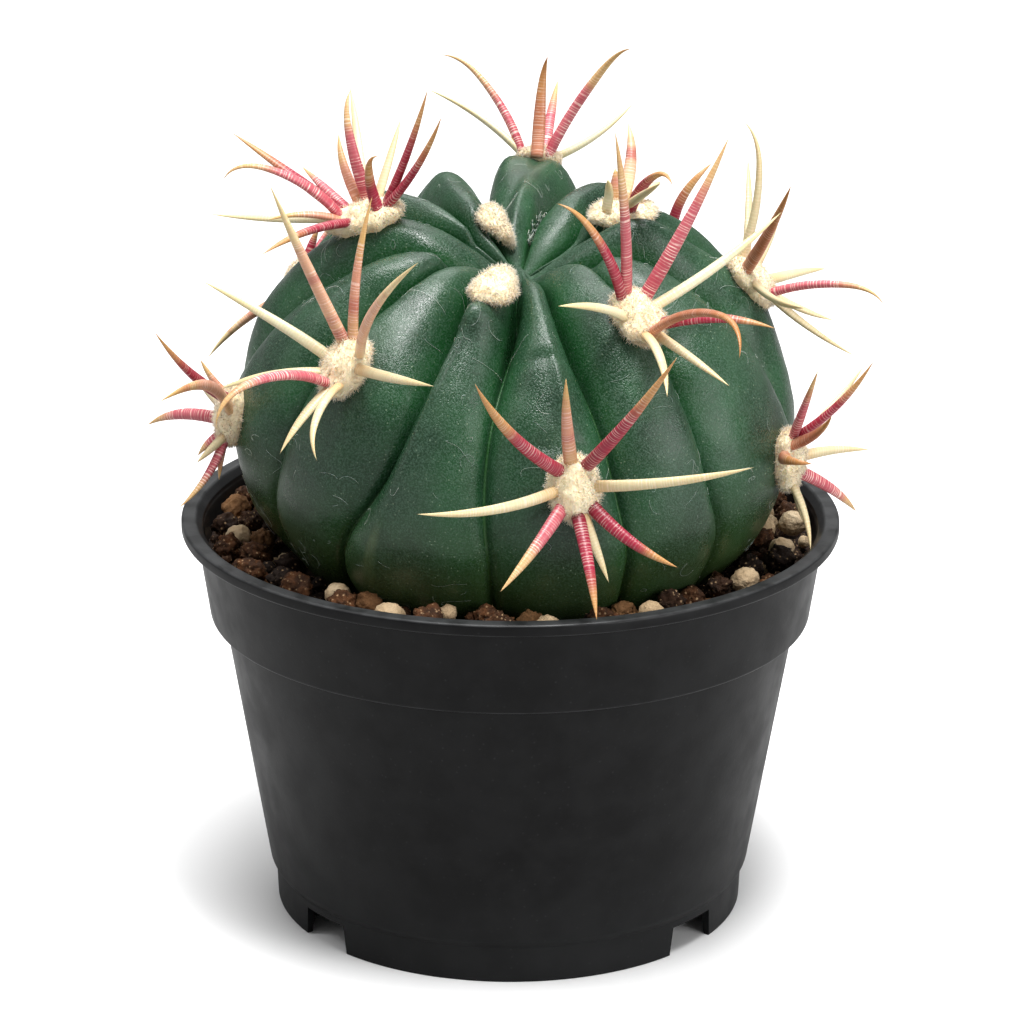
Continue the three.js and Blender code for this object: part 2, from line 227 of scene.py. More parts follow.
def startGroup(name, numbers, results):
    group = bpy.data.node_groups.new(name, "ShaderNodeTree")
    place = group.interface.new_socket("Place", in_out="INPUT", socket_type="NodeSocketVector")
    place.description = "where on the surface, in metres"
    for label, value in numbers.items():
        socket = group.interface.new_socket(label, in_out="INPUT", socket_type="NodeSocketFloat")
        socket.default_value = value
    for label in results:
        group.interface.new_socket(label, in_out="OUTPUT", socket_type="NodeSocketFloat")
    inputs = group.nodes.new("NodeGroupInput")
    outputs = group.nodes.new("NodeGroupOutput")
    return group, inputs.outputs, outputs.inputs


def makeDriftGroup():
    # slow unevenness of a colour or a finish, from Low to High
    group, given, made = startGroup("slowDrift", {"Scale": 60.0, "Low": 0.0, "High": 1.0}, ["Value"])
    uneven = noiseValue(group, given["Place"], given["Scale"], 3.0, 0.55)
    feed(group, made["Value"], remap(group, uneven, 0.3, 0.7, given["Low"], given["High"]))
    return group


def makeSpeckleGroup():
    # a mask of fine dots, denser in some patches than in others
    group, given, made = startGroup("fineSpeckle", {"Scale": 900.0, "Cover": 0.35}, ["Mask"])
    cells = group.nodes.new("ShaderNodeTexVoronoi")
    feed(group, cells.inputs["Vector"], given["Place"])
    feed(group, cells.inputs["Scale"], given["Scale"])
    near = sums(group, "SUBTRACT", given["Cover"], cells.outputs["Distance"])
    patchScale = times(group, given["Scale"], 0.12)
    patches = remap(group, noiseValue(group, given["Place"], patchScale, 2.0), 0.35, 0.65, 0.35, 1.0)
    feed(group, made["Mask"], times(group, remap(group, near, 0.0, 0.3), patches))
    return group


slowDrift = makeDriftGroup()
fineSpeckle = makeSpeckleGroup()


def useGroup(tree, group, place, **numbers):
    node = tree.nodes.new("ShaderNodeGroup")
    node.node_tree = group
    feed(tree, node.inputs["Place"], place)
    for label, value in numbers.items():
        feed(tree, node.inputs[label], value)
    return node.outputs


# the pot is a turned shell with foot notches and drain holes cut away
potShape = {
    "rimRadius": 60, "rimTop": 74.3, "lipHeight": 2.2, "lipWidth": 2.5, "lipRound": 0.55,
    "lipInnerDrop": 1.3, "lipFootRound": 0.3, "lipInnerRound": 0.5, "innerRound": 0.4,
    "collarTopRadius": 57.3, "collarFootRadius": 54.9, "collarFoot": 56,
    "collarFootRound": 0.8, "innerStepTop": 57, "wallTopRadius": 52.5, "wallFootRadius": 44.3,
    "footHeight": 6.8, "footRadius": 43.2, "footStep": 0.3, "footBlend": (1.5, 2.5), "wall": 1.2,
    "floorTop": 8.2, "floorRound": 0.6, "cutSpare": 1,
    "sides": 288, "notchCompass": (50.5, 129.5, 230.5, 309.5), "notchTopWidth": 10.6,
    "notchFootWidth": 12, "notchHeight": 5.5, "notchReach": 8, "drainRadius": 4.2,
    "drainCircle": 29, "drainSides": 48, "edge": 0.25, "sharpAngle": 32,
    "colour": (9, 9, 10), "scuffAndHighlightColour": (62, 63, 64), "roughness": (0.32, 0.44), "shine": 0.2,
    "rubbed": 0.1, "rubbedScale": 130, "speckScale": 620, "speckCover": 0.2, "speckShare": 0.5,
    # worn edges with painted highlights: heights of the collar's foot and of the lip, how far the
    # lighter band reaches, and how uneven
    "litEdgeHeights": (56.15, 72.15, 74.2), "litEdgeReach": 0.35, "wearAndHighlightNoise": (240, 3),
    "wearAndHighlight": (0.3, 0.6, 0.25, 0.9),
    "dustAndReflectionTop": 26, "dustAndReflection": 0.2, "glossScale": 110,
    "grainNoise": (1500, 3, 0.6), "grainRelief": (0.25, 0.05),
    "wavyNoise": (60, 3), "wavyRelief": (0.2, 0.5),
}


def potWallRadius(height):
    p = potShape
    share = (height - p["footHeight"]) / (p["collarFoot"] - p["footHeight"])
    return between(p["wallFootRadius"], p["wallTopRadius"], share)


def roundCorner(before, corner, after, radius, steps=5):
    # points of an arc that replaces a corner of an outline
    before, corner, after = (np.array(point, float) for point in (before, corner, after))
    back = (before - corner) / np.linalg.norm(before - corner)
    ahead = (after - corner) / np.linalg.norm(after - corner)
    half = math.acos(np.clip(np.dot(back, ahead), -1, 1)) / 2
    cut = radius / math.tan(half)
    centre = corner + (back + ahead) / np.linalg.norm(back + ahead) * radius / math.sin(half)
    first = corner + back * cut - centre
    last = corner + ahead * cut - centre
    turn = math.atan2(first[0] * last[1] - first[1] * last[0], np.dot(first, last))
    points = []
    for step in range(steps + 1):
        angle = turn * step / steps
        spun = (first[0] * math.cos(angle) - first[1] * math.sin(angle),
                first[0] * math.sin(angle) + first[1] * math.cos(angle))
        points.append((centre[0] + spun[0], centre[1] + spun[1]))
    return points


def potOutline():
    p = potShape
    lipFoot = p["rimTop"] - p["lipHeight"]
    inner = p["footRadius"] - p["wall"]
    edge, inside, wall = p["edge"], p["innerRound"], p["wall"]
    blendRise, blendRound = p["footBlend"]
    blendHeight = p["footHeight"] + blendRise
    path = [  # radius, height, rounding, from the foot's inner edge up the outside and down the inside
        (inner, 0, edge),
        (p["footRadius"], 0, edge),
        (p["footRadius"] + p["footStep"], p["footHeight"], p["footStep"]),
        (potWallRadius(blendHeight), blendHeight, blendRound),
        (p["wallTopRadius"], p["collarFoot"], p["lipFootRound"]),
        (p["collarFootRadius"], p["collarFoot"], p["collarFootRound"]),
        (p["collarTopRadius"], lipFoot, p["lipFootRound"]),
        (p["rimRadius"], lipFoot, p["lipRound"]),
        (p["rimRadius"], p["rimTop"], p["lipRound"]),
        (p["rimRadius"] - p["lipWidth"], p["rimTop"], p["lipInnerRound"]),
        (p["collarTopRadius"] - wall, p["rimTop"] - p["lipInnerDrop"], inside),
        (p["collarFootRadius"] - wall, p["innerStepTop"], inside),
        (p["wallTopRadius"] - wall, p["collarFoot"] - wall, inside),
        (potWallRadius(p["floorTop"]) - wall, p["floorTop"], p["floorRound"]),
        (0, p["floorTop"], 0),
        (0, p["floorTop"] - wall, 0),
        (inner - p["footStep"], p["floorTop"] - wall, p["footStep"]),
    ]
    points = []
    for order, (radius, height, rounding) in enumerate(path):
        before = path[order - 1][:2]
        after = path[(order + 1) % len(path)][:2]
        if rounding:
            points += roundCorner(before, (radius, height), after, rounding)
        else:
            points.append((radius, height))
    return points


def turnOutline(outline, sides):
    # a turned solid from a closed outline that meets the axis in two points
    points = []
    rows = []
    for radius, height in outline:
        if radius == 0:
            rows.append([len(points)])
            points.append((0, 0, height))
            continue
        rows.append(list(range(len(points), len(points) + sides)))
        for side in range(sides):
            points.append((*atCompass(radius, 2 * math.pi * side / sides), height))
    faces = []
    for order, row in enumerate(rows):
        following = rows[(order + 1) % len(rows)]
        for side in range(sides):
            beyond = (side + 1) % sides
            corners = [row[side % len(row)], row[beyond % len(row)],
                       following[beyond % len(following)], following[side % len(following)]]
            face = list(dict.fromkeys(corners))
            if len(face) > 2:
                faces.append(face)
    return points, faces


def cutterObject(points, faces):
    mesh = bpy.data.meshes.new("cutter")
    mesh.from_pydata((np.asarray(points) * mm).tolist(), [], faces)
    cutter = bpy.data.objects.new("cutter", mesh)
    bpy.context.collection.objects.link(cutter)
    return cutter


def spun(points, compass):
    angle = math.radians(compass)
    return [(x * math.cos(angle) - y * math.sin(angle), x * math.sin(angle) + y * math.cos(angle), z)
            for x, y, z in points]


def notchCutter(compass):
    p = potShape
    foot, top = p["notchFootWidth"] / 2, p["notchTopWidth"] / 2
    outline = [(-foot, -p["cutSpare"]), (foot, -p["cutSpare"]),
               (top, p["notchHeight"]), (-top, p["notchHeight"])]
    points = []
    for reach in (-p["notchReach"] / 2, p["notchReach"] / 2):
        points += [(x, -p["footRadius"] - reach, z) for x, z in outline]
    faces = [(3, 2, 1, 0), (4, 5, 6, 7), (1, 5, 4, 0), (2, 6, 5, 1), (3, 7, 6, 2), (0, 4, 7, 3)]
    return cutterObject(spun(points, compass), faces)


def drainCutter(radius, compass):
    p = potShape
    count = p["drainSides"]
    points = []
    for height in (p["floorTop"] - p["wall"] - p["cutSpare"], p["floorTop"] + p["cutSpare"]):
        for side in range(count):
            angle = 2 * math.pi * side / count
            x, y = p["drainRadius"] * math.cos(angle), p["drainRadius"] * math.sin(angle) - radius
            points.append((x, y, height))
    ends = [tuple(range(count - 1, -1, -1)), tuple(range(count, 2 * count))]
    return cutterObject(spun(points, compass), ends + sideFaces(0, 2, count))


def cutAway(piece, cutters):
    for cutter in cutters:
        modifier = piece.modifiers.new("cut", "BOOLEAN")
        modifier.operation = "DIFFERENCE"
        modifier.solver = "EXACT"
        modifier.object = cutter
    bpy.context.view_layer.update()
    graph = bpy.context.evaluated_depsgraph_get()
    finished = bpy.data.meshes.new_from_object(piece.evaluated_get(graph))
    piece.modifiers.clear()
    finished.name = piece.data.name
    piece.data = finished
    for cutter in cutters:
        bpy.data.objects.remove(cutter)


def potMaterial():
    p = potShape
    material, tree, shader = startMaterial("blackNurseryPlastic")
    place = objectPlace(tree)
    plastic, scuffAndHighlight = paint(*p["colour"]), paint(*p["scuffAndHighlightColour"])
    rubbed = useGroup(tree, slowDrift, place, Scale=p["rubbedScale"], Low=0.0, High=p["rubbed"])["Value"]
    specks = useGroup(tree, fineSpeckle, place, Scale=p["speckScale"], Cover=p["speckCover"])
    # the black is rubbed and speckled, has worn edges with painted highlights on the collar and lip, and
    # has dust with a painted floor reflection near the foot
    colour = mixColours(tree, rubbed, plastic, scuffAndHighlight)
    colour = mixColours(tree, times(tree, specks["Mask"], p["speckShare"]), colour, scuffAndHighlight)
    split = tree.nodes.new("ShaderNodeSeparateXYZ")
    feed(tree, split.inputs["Vector"], place)
    height = split.outputs["Z"]
    wornAndLit = remap(tree, noiseValue(tree, place, *p["wearAndHighlightNoise"]), *p["wearAndHighlight"])
    # painted highlights: the collar's foot, the lip's foot and the lip's top are made lighter, like worn
    # edges
    for edge in p["litEdgeHeights"]:
        away = sums(tree, "ABSOLUTE", sums(tree, "SUBTRACT", height, edge * mm))
        near = remap(tree, away, p["litEdgeReach"] * mm, 0.0)
        colour = mixColours(tree, times(tree, near, wornAndLit), colour, scuffAndHighlight)
    # lighter towards the foot: dust, and a painted reflection of the pale floor
    dustAndReflection = remap(tree, height, 0.0, p["dustAndReflectionTop"] * mm, p["dustAndReflection"], 0.0)
    feed(tree, shader.inputs["Base Color"], mixColours(tree, dustAndReflection, colour, scuffAndHighlight))
    low, high = p["roughness"]
    uneven = useGroup(tree, slowDrift, place, Scale=p["glossScale"], Low=low, High=high)["Value"]
    feed(tree, shader.inputs["Roughness"], uneven)
    shader.inputs["Specular IOR Level"].default_value = p["shine"]
    wavy = bump(tree, noiseValue(tree, place, *p["wavyNoise"]), *p["wavyRelief"])
    grain = noiseValue(tree, place, *p["grainNoise"])
    feed(tree, shader.inputs["Normal"], bump(tree, grain, *p["grainRelief"], wavy))
    return material


def makePot():
    points, faces = turnOutline(potOutline(), potShape["sides"])
    pot = makePiece("nurseryPot", points, faces, potMaterial(), ["pot"])
    cutters = [drainCutter(0, 0)]
    for compass in potShape["notchCompass"]:
        cutters.append(notchCutter(compass))
        cutters.append(drainCutter(potShape["drainCircle"], compass))
    cutAway(pot, cutters)
    pot.data.set_sharp_from_angle(angle=math.radians(potShape["sharpAngle"]))
    print("pot made:", len(pot.data.polygons), "faces")


# the stem is a tilted ellipsoid whose ribs and furrows each follow their own compass line
stemForm = {
    "ribs": 13, "centre": (0.7, -0.7, 93.8), "radius": 50.4, "halfHeight": 40.5, "leanForward": 12.5,
    "leanRight": 1.5, "firstRib": -46, "twist": -3.5, "twistPolar": 60, "dip": 11, "dipWidth": 15,
    "furrow": 4, "crownFurrow": 5.5, "crownFurrowPolar": 28, "crownFurrowReach": 17, "furrowStart": 14,
    "powers": (2, 3), "powerPolars": (20, 80), "strayPolars": (25, 60, 100), "strayLimits": (12, 102),
    "crestStray": [(1, 1, 0), (4, -3, -4), (-4, 1, 8), (1, 2, 4), (1, 3, 6), (4, 3, 2), (-4, -2, 0),
                   (0, 0, 0), (5, -2, -2), (8, -2, -2), (2, 2, 0), (-1, -3, -2), (4, 0, -1)],
    "furrowStray": [(1, 8, -3), (2, -1, 1), (-8, -4, -2), (-6, -9, -5)] + [(0, 0, 0)] * 8 + [(0, 2, 2)],
    "acrossSteps": 28, "polarRows": 200, "polarStart": 2.0, "polarEnd": 150,
    "acrossCrowding": 1.5, "polarCrowding": 1.08,
    # sharp crease and wider fold along each furrow, and the ribs' round sides near the crown
    "creaseDepth": 0.9, "creaseWidth": 0.05, "foldDepth": 1.6, "foldPolar": 19, "foldReach": 21,
    "foldWidth": 0.12, "foldStart": (2, 11), "lobeDepth": 1.35, "lobeEdge": 0.985,
    "lowFill": 0.5, "lowPolars": (74, 100), "bendPolar": 90, "bendReach": 12,
    # raised line along a rib: across, lift, width, polar, reach in polar
    "plainRidge": (0, 0.4, 0.26, 48, 14),
    "ridges": {0: (-0.2, 0.6, 0.26, 40, 14), 1: (-0.3, 1.2, 0.22, 43, 13), 2: (0.2, 0.9, 0.17, 50, 14),
               11: (0.4, 0.5, 0.25, 36, 12)},
    # low down, an angular line along a rib: across, lift, half width
    "plainLowRidge": (0, 0.3, 0.6),
    "lowRidges": {1: (-0.35, 1.5, 0.6), 12: (0.2, 0.7, 0.6), 3: (0.1, 0.6, 0.6)},
    "lowRidgePolars": (78, 98),
    # pale lines along such an edge: rib, across, first polar, last polar
    "edgeLines": [(1, -0.35, 84, 128), (0, -0.93, 76, 122), (12, 0.2, 84, 120)],
    "edgeLineWidth": 0.06, "edgeLineCover": 0.6, "edgeLineFades": (8, 12),
    # ribs that start as a narrow finger: first polar, last polar, half width at first, depth beside it
    "fingers": {2: (14, 50, 0.6, 3.0), 1: (24, 44, 0.85, 2.0)},
    "fingerEdge": (-0.05, 0.3),
    # ribs with a round tube on their way out of the crown: across, middle polar, reach, the distances
    # from its middle between which it falls away, depth beside it
    "tubes": {8: (-0.42, 20, 11, (0.8, 3.2), 3.8), 7: (0.0, 22, 10, (1.0, 4.2), 2.0)},
    # ribs whose tip is a rounded nose: polar of the tip, reach, depth before it
    "noses": {2: (8, 3, 3), 4: (17, 5, 2), 6: (15, 5, 2), 9: (14, 5, 2), 10: (12, 4, 1.5),
              12: (17, 5, 2.2)},
    "noseRound": 2, "pit": 2.4, "pitReach": 6,
    # degrees by which the furrow after a rib moves aside at the crown, so that ribs end narrow or wide
    "crownShift": {1: -7, 2: 7, 3: 9, 4: -9, 5: 6, 6: -6, 8: 4, 9: 3, 10: -8, 11: 9, 12: -9},
    "crownShiftPolars": (7, 28),
    # dents and bulges in the skin: rib, across, polar, height, reach across, reach in polar
    "marks": [(2, 0.05, 42, -0.6, 0.7, 1.6), (2, -0.3, 62.5, -0.5, 0.13, 1.8),
              (2, 0.3, 62, -0.5, 0.13, 2), (2, 0, 66, 0.5, 0.2, 2.5),
              (3, -0.35, 45, -0.5, 0.2, 5), (11, 0.2, 33, -0.5, 0.3, 3),
              (3, 0.1, 26, -0.4, 0.5, 2.2), (1, 0, 33.5, 2.4, 0.6, 3.2), (8, -0.5, 44, 1.3, 0.3, 8),
              (8, 0.58, 45, 2.4, 0.34, 9), (8, -0.12, 43, -0.7, 0.12, 5), (11, 0.5, 36, 0.5, 0.18, 2.5),
              (5, -0.2, 25, 3.2, 0.7, 8), (3, 0.3, 17, 1.4, 0.8, 7), (9, -0.25, 40, 1.8, 0.6, 9),
              (10, 0, 39, 2.2, 0.75, 10), (7, 0, 38, 0.8, 0.7, 9)],
    "swell": 0.5, "swellSize": 11, "pucker": 0.1, "puckerSize": 3.2,
    "crestColours": ((26, 46, 32), (44, 72, 50)), "flankColours": ((20, 50, 28), (32, 74, 42)),
    "foldColour": (16, 84, 26), "rimColour": (58, 108, 44), "edgeLineColour": (112, 126, 84),
    "bloomColour": (92, 122, 104), "lowColour": (62, 74, 24), "speckColour": (170, 190, 160),
    # where colours change across a rib, 0 on its crest and 1 in the furrow
    "crestEdge": (0.15, 0.75), "foldEdge": (0.6, 0.97), "rimEdge": (0.975, 0.99),
    # how they change downwards: first and last polar, and the share at each
    "foldFade": (25, 75, 1.0, 0.2), "foldCover": 0.6, "rimFade": (30, 80, 0.15, 0.5),
    "lowFade": (76, 118, 0.0, 0.55), "dullCentre": (4, 13, 0.7, 0.0),
    "driftScale": 70, "glossScale": 150, "roughness": (0.2, 0.36), "shine": 0.36,
    "speckScale": 1000, "speckCover": 0.2, "speckShare": 0.8,
    "grainNoise": (3200, 2, 0.6), "grainEdge": (0.4, 0.66), "grainRelief": (0.45, 0.06), "bloom": 0.3,
    "softNoise": (300, 3, 0.6), "softRelief": (0.3, 0.25),
}

areoleForm = {
    "firstRib": 9, "ribsPerAreole": 5, "polars": (11, 25, 24, 33, 38, 49, 54, 53, 80, 72, 82, 84, 86),
    "shoulderRise": (1.2, 1.2, 2, 1.2, 1.2, 4, 1.2, 1.2, 1.2, 1.2, 1.2, 1.2, 1.2), "shoulderReach": 11,
    "halfSpan": 1.5, "halfAcross": 0.06,
}
areoleOfRib = {(areoleForm["firstRib"] + areoleForm["ribsPerAreole"] * order) % stemForm["ribs"]: order
               for order in range(stemForm["ribs"])}

stemTurn = (Matrix.Rotation(math.radians(stemForm["leanRight"]), 3, "Y")
            @ Matrix.Rotation(math.radians(stemForm["leanForward"]), 3, "X"))


def strayAt(values, polar):
    # a parabola through the three strays that levels out gently near the pot
    f = stemForm
    past = np.maximum(polar - f["bendPolar"], 0)
    bent = np.minimum(polar, f["bendPolar"]) + f["bendReach"] * (1 - np.exp(-past / f["bendReach"]))
    at = np.maximum(bent, f["strayLimits"][0])
    a, b, c = f["strayPolars"]
    return (values[0] * (at - b) * (at - c) / ((a - b) * (a - c))
            + values[1] * (at - a) * (at - c) / ((b - a) * (b - c))
            + values[2] * (at - a) * (at - b) / ((c - a) * (c - b)))


def crestCompass(rib, polar):
    f = stemForm
    twist = f["twist"] * (np.clip(polar, *f["strayLimits"]) - f["twistPolar"]) / f["twistPolar"]
    stray = strayAt(f["crestStray"][rib % f["ribs"]], polar)
    return f["firstRib"] + 360 / f["ribs"] * rib + twist + stray


def furrowCompass(rib, polar):
    middle = (crestCompass(rib, polar) + crestCompass(rib + 1, polar)) / 2
    return middle + strayAt(stemForm["furrowStray"][rib % stemForm["ribs"]], polar)


def crestLine(polar):
    f = stemForm
    radius = f["radius"] * np.sin(np.radians(polar))
    dip = np.where(polar < 90, f["dip"] * np.exp(-(radius / f["dipWidth"]) ** 2), 0)
    return radius, f["halfHeight"] * np.cos(np.radians(polar)) - dip


def crestNormal(polar):
    ahead, behind = crestLine(polar + 0.5), crestLine(polar - 0.5)  # half a degree either way
    along = np.array([ahead[0] - behind[0], ahead[1] - behind[1]])
    along = along / np.hypot(along[0], along[1])
    return -along[1], along[0]


def furrowAt(polar):
    f = stemForm
    crown = f["crownFurrow"] * bell(polar, f["crownFurrowPolar"], f["crownFurrowReach"])
    return (f["furrow"] + crown) * np.clip(polar / f["furrowStart"], 0, 1)


def ribPowerAt(polar):
    low, high = stemForm["powerPolars"]
    share = np.clip((polar - low) / (high - low), 0, 1)
    return between(*stemForm["powers"], share)


def shoulderAt(rib, across, polar):
    a = areoleForm
    order = areoleOfRib[rib % stemForm["ribs"]]
    rise = a["shoulderRise"][order] * bell(polar, a["polars"][order], a["shoulderReach"])
    return rise * (1 - across ** 4)


def stepUp(value, low, high):
    share = np.clip((value - low) / (high - low), 0, 1)
    return share * share * (3 - 2 * share)


def fineRelief(rib, across, polar):
    # what the finished skin adds to the plain form: creases, folds, fuller ribs, ridges and marks
    f = stemForm
    rib = rib % f["ribs"]
    far = np.abs(across)
    start = stepUp(polar, *f["foldStart"])
    nearCrown = bell(polar, f["foldPolar"], f["foldReach"])
    halfRib = f["radius"] * np.sin(np.radians(polar)) * math.pi / f["ribs"]
    lobe = f["lobeDepth"] * halfRib * (1 - np.sqrt(1 - (f["lobeEdge"] * far) ** 2))
    relief = nearCrown * (furrowAt(polar) * far ** ribPowerAt(polar) - lobe)
    relief = relief - f["creaseDepth"] * bell(far, 1, f["creaseWidth"]) * start
    relief = relief - f["foldDepth"] * bell(far, 1, f["foldWidth"]) * nearCrown * start
    filled = f["lowFill"] * furrowAt(polar) * far ** f["powers"][1]
    relief = relief + filled * stepUp(polar, *f["lowPolars"])
    middle, lift, width, ridgePolar, reach = f["ridges"].get(rib, f["plainRidge"])
    relief = relief + lift * bell(across, middle, width) * bell(polar, ridgePolar, reach)
    middle, lift, width = f["lowRidges"].get(rib, f["plainLowRidge"])
    tent = np.maximum(0, 1 - np.abs(across - middle) / width)
    relief = relief + lift * tent * stepUp(polar, *f["lowRidgePolars"])
    if rib in f["fingers"]:
        first, last, edge, depth = f["fingers"][rib]
        share = np.clip((polar - first) / (last - first), 0, 1)
        edgeHere = between(edge, 1, share)
        inside, outside = f["fingerEdge"]
        beside = stepUp(far, edgeHere + inside, edgeHere + outside) * (1 - share) * start
        relief = relief - depth * beside
    if rib in f["tubes"]:
        middle, tubePolar, reach, fall, depth = f["tubes"][rib]
        beside = stepUp(np.abs(across - middle) * halfRib, *fall)
        relief = relief - depth * bell(polar, tubePolar, reach) * beside * start
    if rib in f["noses"]:
        tip, reach, depth = f["noses"][rib]
        rounded = polar + f["noseRound"] * far ** 2
        relief = relief - depth * (1 - stepUp(rounded, tip - reach / 2, tip + reach / 2)) * start
    relief = relief - f["pit"] * bell(polar, 0, f["pitReach"])
    for markRib, middle, markPolar, height, reach, polarReach in f["marks"]:
        if markRib == rib:
            relief = relief + height * bell(across, middle, reach) * bell(polar, markPolar, polarReach)
    return relief


def stemPoint(rib, across, polar, lift=0.0, fine=False):
    # across runs from -1 in the furrow before the rib to 1 in the one after; arrays are welcome
    f = stemForm
    across = np.asarray(across, float)
    polar = np.asarray(polar, float)
    crest = crestCompass(rib, polar)
    before = crest - furrowCompass(rib - 1, polar)
    after = furrowCompass(rib, polar) - crest
    if fine:
        nearCentre = 1 - stepUp(polar, *f["crownShiftPolars"])
        before = before - f["crownShift"].get((rib - 1) % f["ribs"], 0) * nearCentre
        after = after + f["crownShift"].get(rib % f["ribs"], 0) * nearCentre
    compass = np.radians(crest + across * np.where(across < 0, before, after))
    flank = furrowAt(polar) * np.abs(across) ** ribPowerAt(polar)
    sunk = flank - shoulderAt(rib, across, polar) - lift
    if fine:
        sunk = sunk - fineRelief(rib, across, polar)
    radius, height = crestLine(polar)
    outward, upward = crestNormal(polar)
    radius = radius - outward * sunk
    height = height - upward * sunk
    local = np.stack([radius * np.sin(compass), -radius * np.cos(compass), height], axis=-1)
    return local @ np.array(stemTurn).T + np.array(f["centre"])


def stemMaterial():
    f = stemForm
    material, tree, shader = startMaterial("waxyRibSkin")
    place = objectPlace(tree)
    furrow = attributeValue(tree, "furrow")
    polar = attributeValue(tree, "polar")
    # dark crests, greener flanks, bright folds near the crown and a pale rim along each furrow
    drift = useGroup(tree, slowDrift, place, Scale=f["driftScale"], Low=0.0, High=1.0)["Value"]
    crest = mixColours(tree, drift, *(paint(*colour) for colour in f["crestColours"]))
    flank = mixColours(tree, drift, *(paint(*colour) for colour in f["flankColours"]))
    skin = mixColours(tree, remap(tree, furrow, *f["crestEdge"]), crest, flank)
    nearCrown = times(tree, remap(tree, polar, *f["foldFade"]), f["foldCover"])
    fold = times(tree, remap(tree, furrow, *f["foldEdge"]), nearCrown)
    skin = mixColours(tree, fold, skin, paint(*f["foldColour"]))
    rim = times(tree, remap(tree, furrow, *f["rimEdge"]), remap(tree, polar, *f["rimFade"]))
    skin = mixColours(tree, rim, skin, paint(*f["rimColour"]))
    skin = mixColours(tree, attributeValue(tree, "edgeLine"), skin, paint(*f["edgeLineColour"]))
    # bloom in fine grains, a warmer tone low down, and pale specks
    grain = remap(tree, noiseValue(tree, place, *f["grainNoise"]), *f["grainEdge"])
    skin = mixColours(tree, times(tree, grain, f["bloom"]), skin, paint(*f["bloomColour"]))
    skin = mixColours(tree, remap(tree, polar, *f["lowFade"]), skin, paint(*f["lowColour"]))
    specks = useGroup(tree, fineSpeckle, place, Scale=f["speckScale"], Cover=f["speckCover"])
    skin = mixColours(tree, times(tree, specks["Mask"], f["speckShare"]), skin, paint(*f["speckColour"]))
    feed(tree, shader.inputs["Base Color"], skin)
    smooth, rough = f["roughness"]
    gloss = useGroup(tree, slowDrift, place, Scale=f["glossScale"], Low=smooth, High=rough)["Value"]
    dull = remap(tree, polar, *f["dullCentre"])
    feed(tree, shader.inputs["Roughness"], sums(tree, "MAXIMUM", gloss, dull))
    shader.inputs["Specular IOR Level"].default_value = f["shine"]
    soft = bump(tree, noiseValue(tree, place, *f["softNoise"]), *f["softRelief"])
    feed(tree, shader.inputs["Normal"], bump(tree, grain, *f["grainRelief"], soft))
    return material


def edgeLineAt(rib, across, polar):
    # how much of the pale line's colour shows
    f = stemForm
    fadeIn, fadeOut = f["edgeLineFades"]
    shown = np.zeros_like(across)
    for lineRib, middle, first, last in f["edgeLines"]:
        if lineRib == rib:
            faded = stepUp(polar, first, first + fadeIn) * (1 - stepUp(polar, last - fadeOut, last))
            line = f["edgeLineCover"] * bell(across, middle, f["edgeLineWidth"]) * faded
            shown = np.maximum(shown, line)
    return shown


def makeStem():
    f = stemForm
    half = np.linspace(0, 1, f["acrossSteps"] // 2 + 1)
    half = 1 - (1 - half) ** f["acrossCrowding"]
    across = np.concatenate([-half[::-1], half[1:-1]])
    rows = np.linspace(0, 1, f["polarRows"])
    polar = between(f["polarStart"], f["polarEnd"], rows ** f["polarCrowding"])
    acrossGrid, polarGrid = np.meshgrid(across, polar)
    ribs = range(f["ribs"])
    grid = np.concatenate([stemPoint(rib, acrossGrid, polarGrid, fine=True) for rib in ribs], axis=1)
    edges = np.concatenate([edgeLineAt(rib, acrossGrid, polarGrid) for rib in ribs], axis=1)
    furrow = np.tile(np.abs(acrossGrid), f["ribs"])
    crown = np.array(stemTurn) @ (0, 0, float(crestLine(np.array(0.0))[1])) + f["centre"]
    root = np.array(stemTurn) @ (0, 0, -f["halfHeight"]) + f["centre"]
    points = np.concatenate([[crown], grid.reshape(-1, 3), [root]])
    outward = points - np.array(f["centre"])
    outward /= np.linalg.norm(outward, axis=1)[:, None]
    for order, point in enumerate(points):
        swell = f["swell"] * noise.noise(Vector(point) / f["swellSize"])
        pucker = f["pucker"] * noise.noise(Vector(point) / f["puckerSize"])
        points[order] = point + outward[order] * (swell + pucker)
    count = grid.shape[1]
    faces = loftFaces(f["polarRows"], count)
    stem = makePiece("ribbedStem", points, faces, stemMaterial(), ["stem"])
    addValues(stem, "furrow", np.concatenate([[0], furrow.reshape(-1), [0]]))
    addValues(stem, "edgeLine", np.concatenate([[0], edges.reshape(-1), [0]]))
    addValues(stem, "polar", np.concatenate([[0], np.repeat(polar, count), [180]]))
    print("stem made:", len(stem.data.polygons), "faces")
    return stem


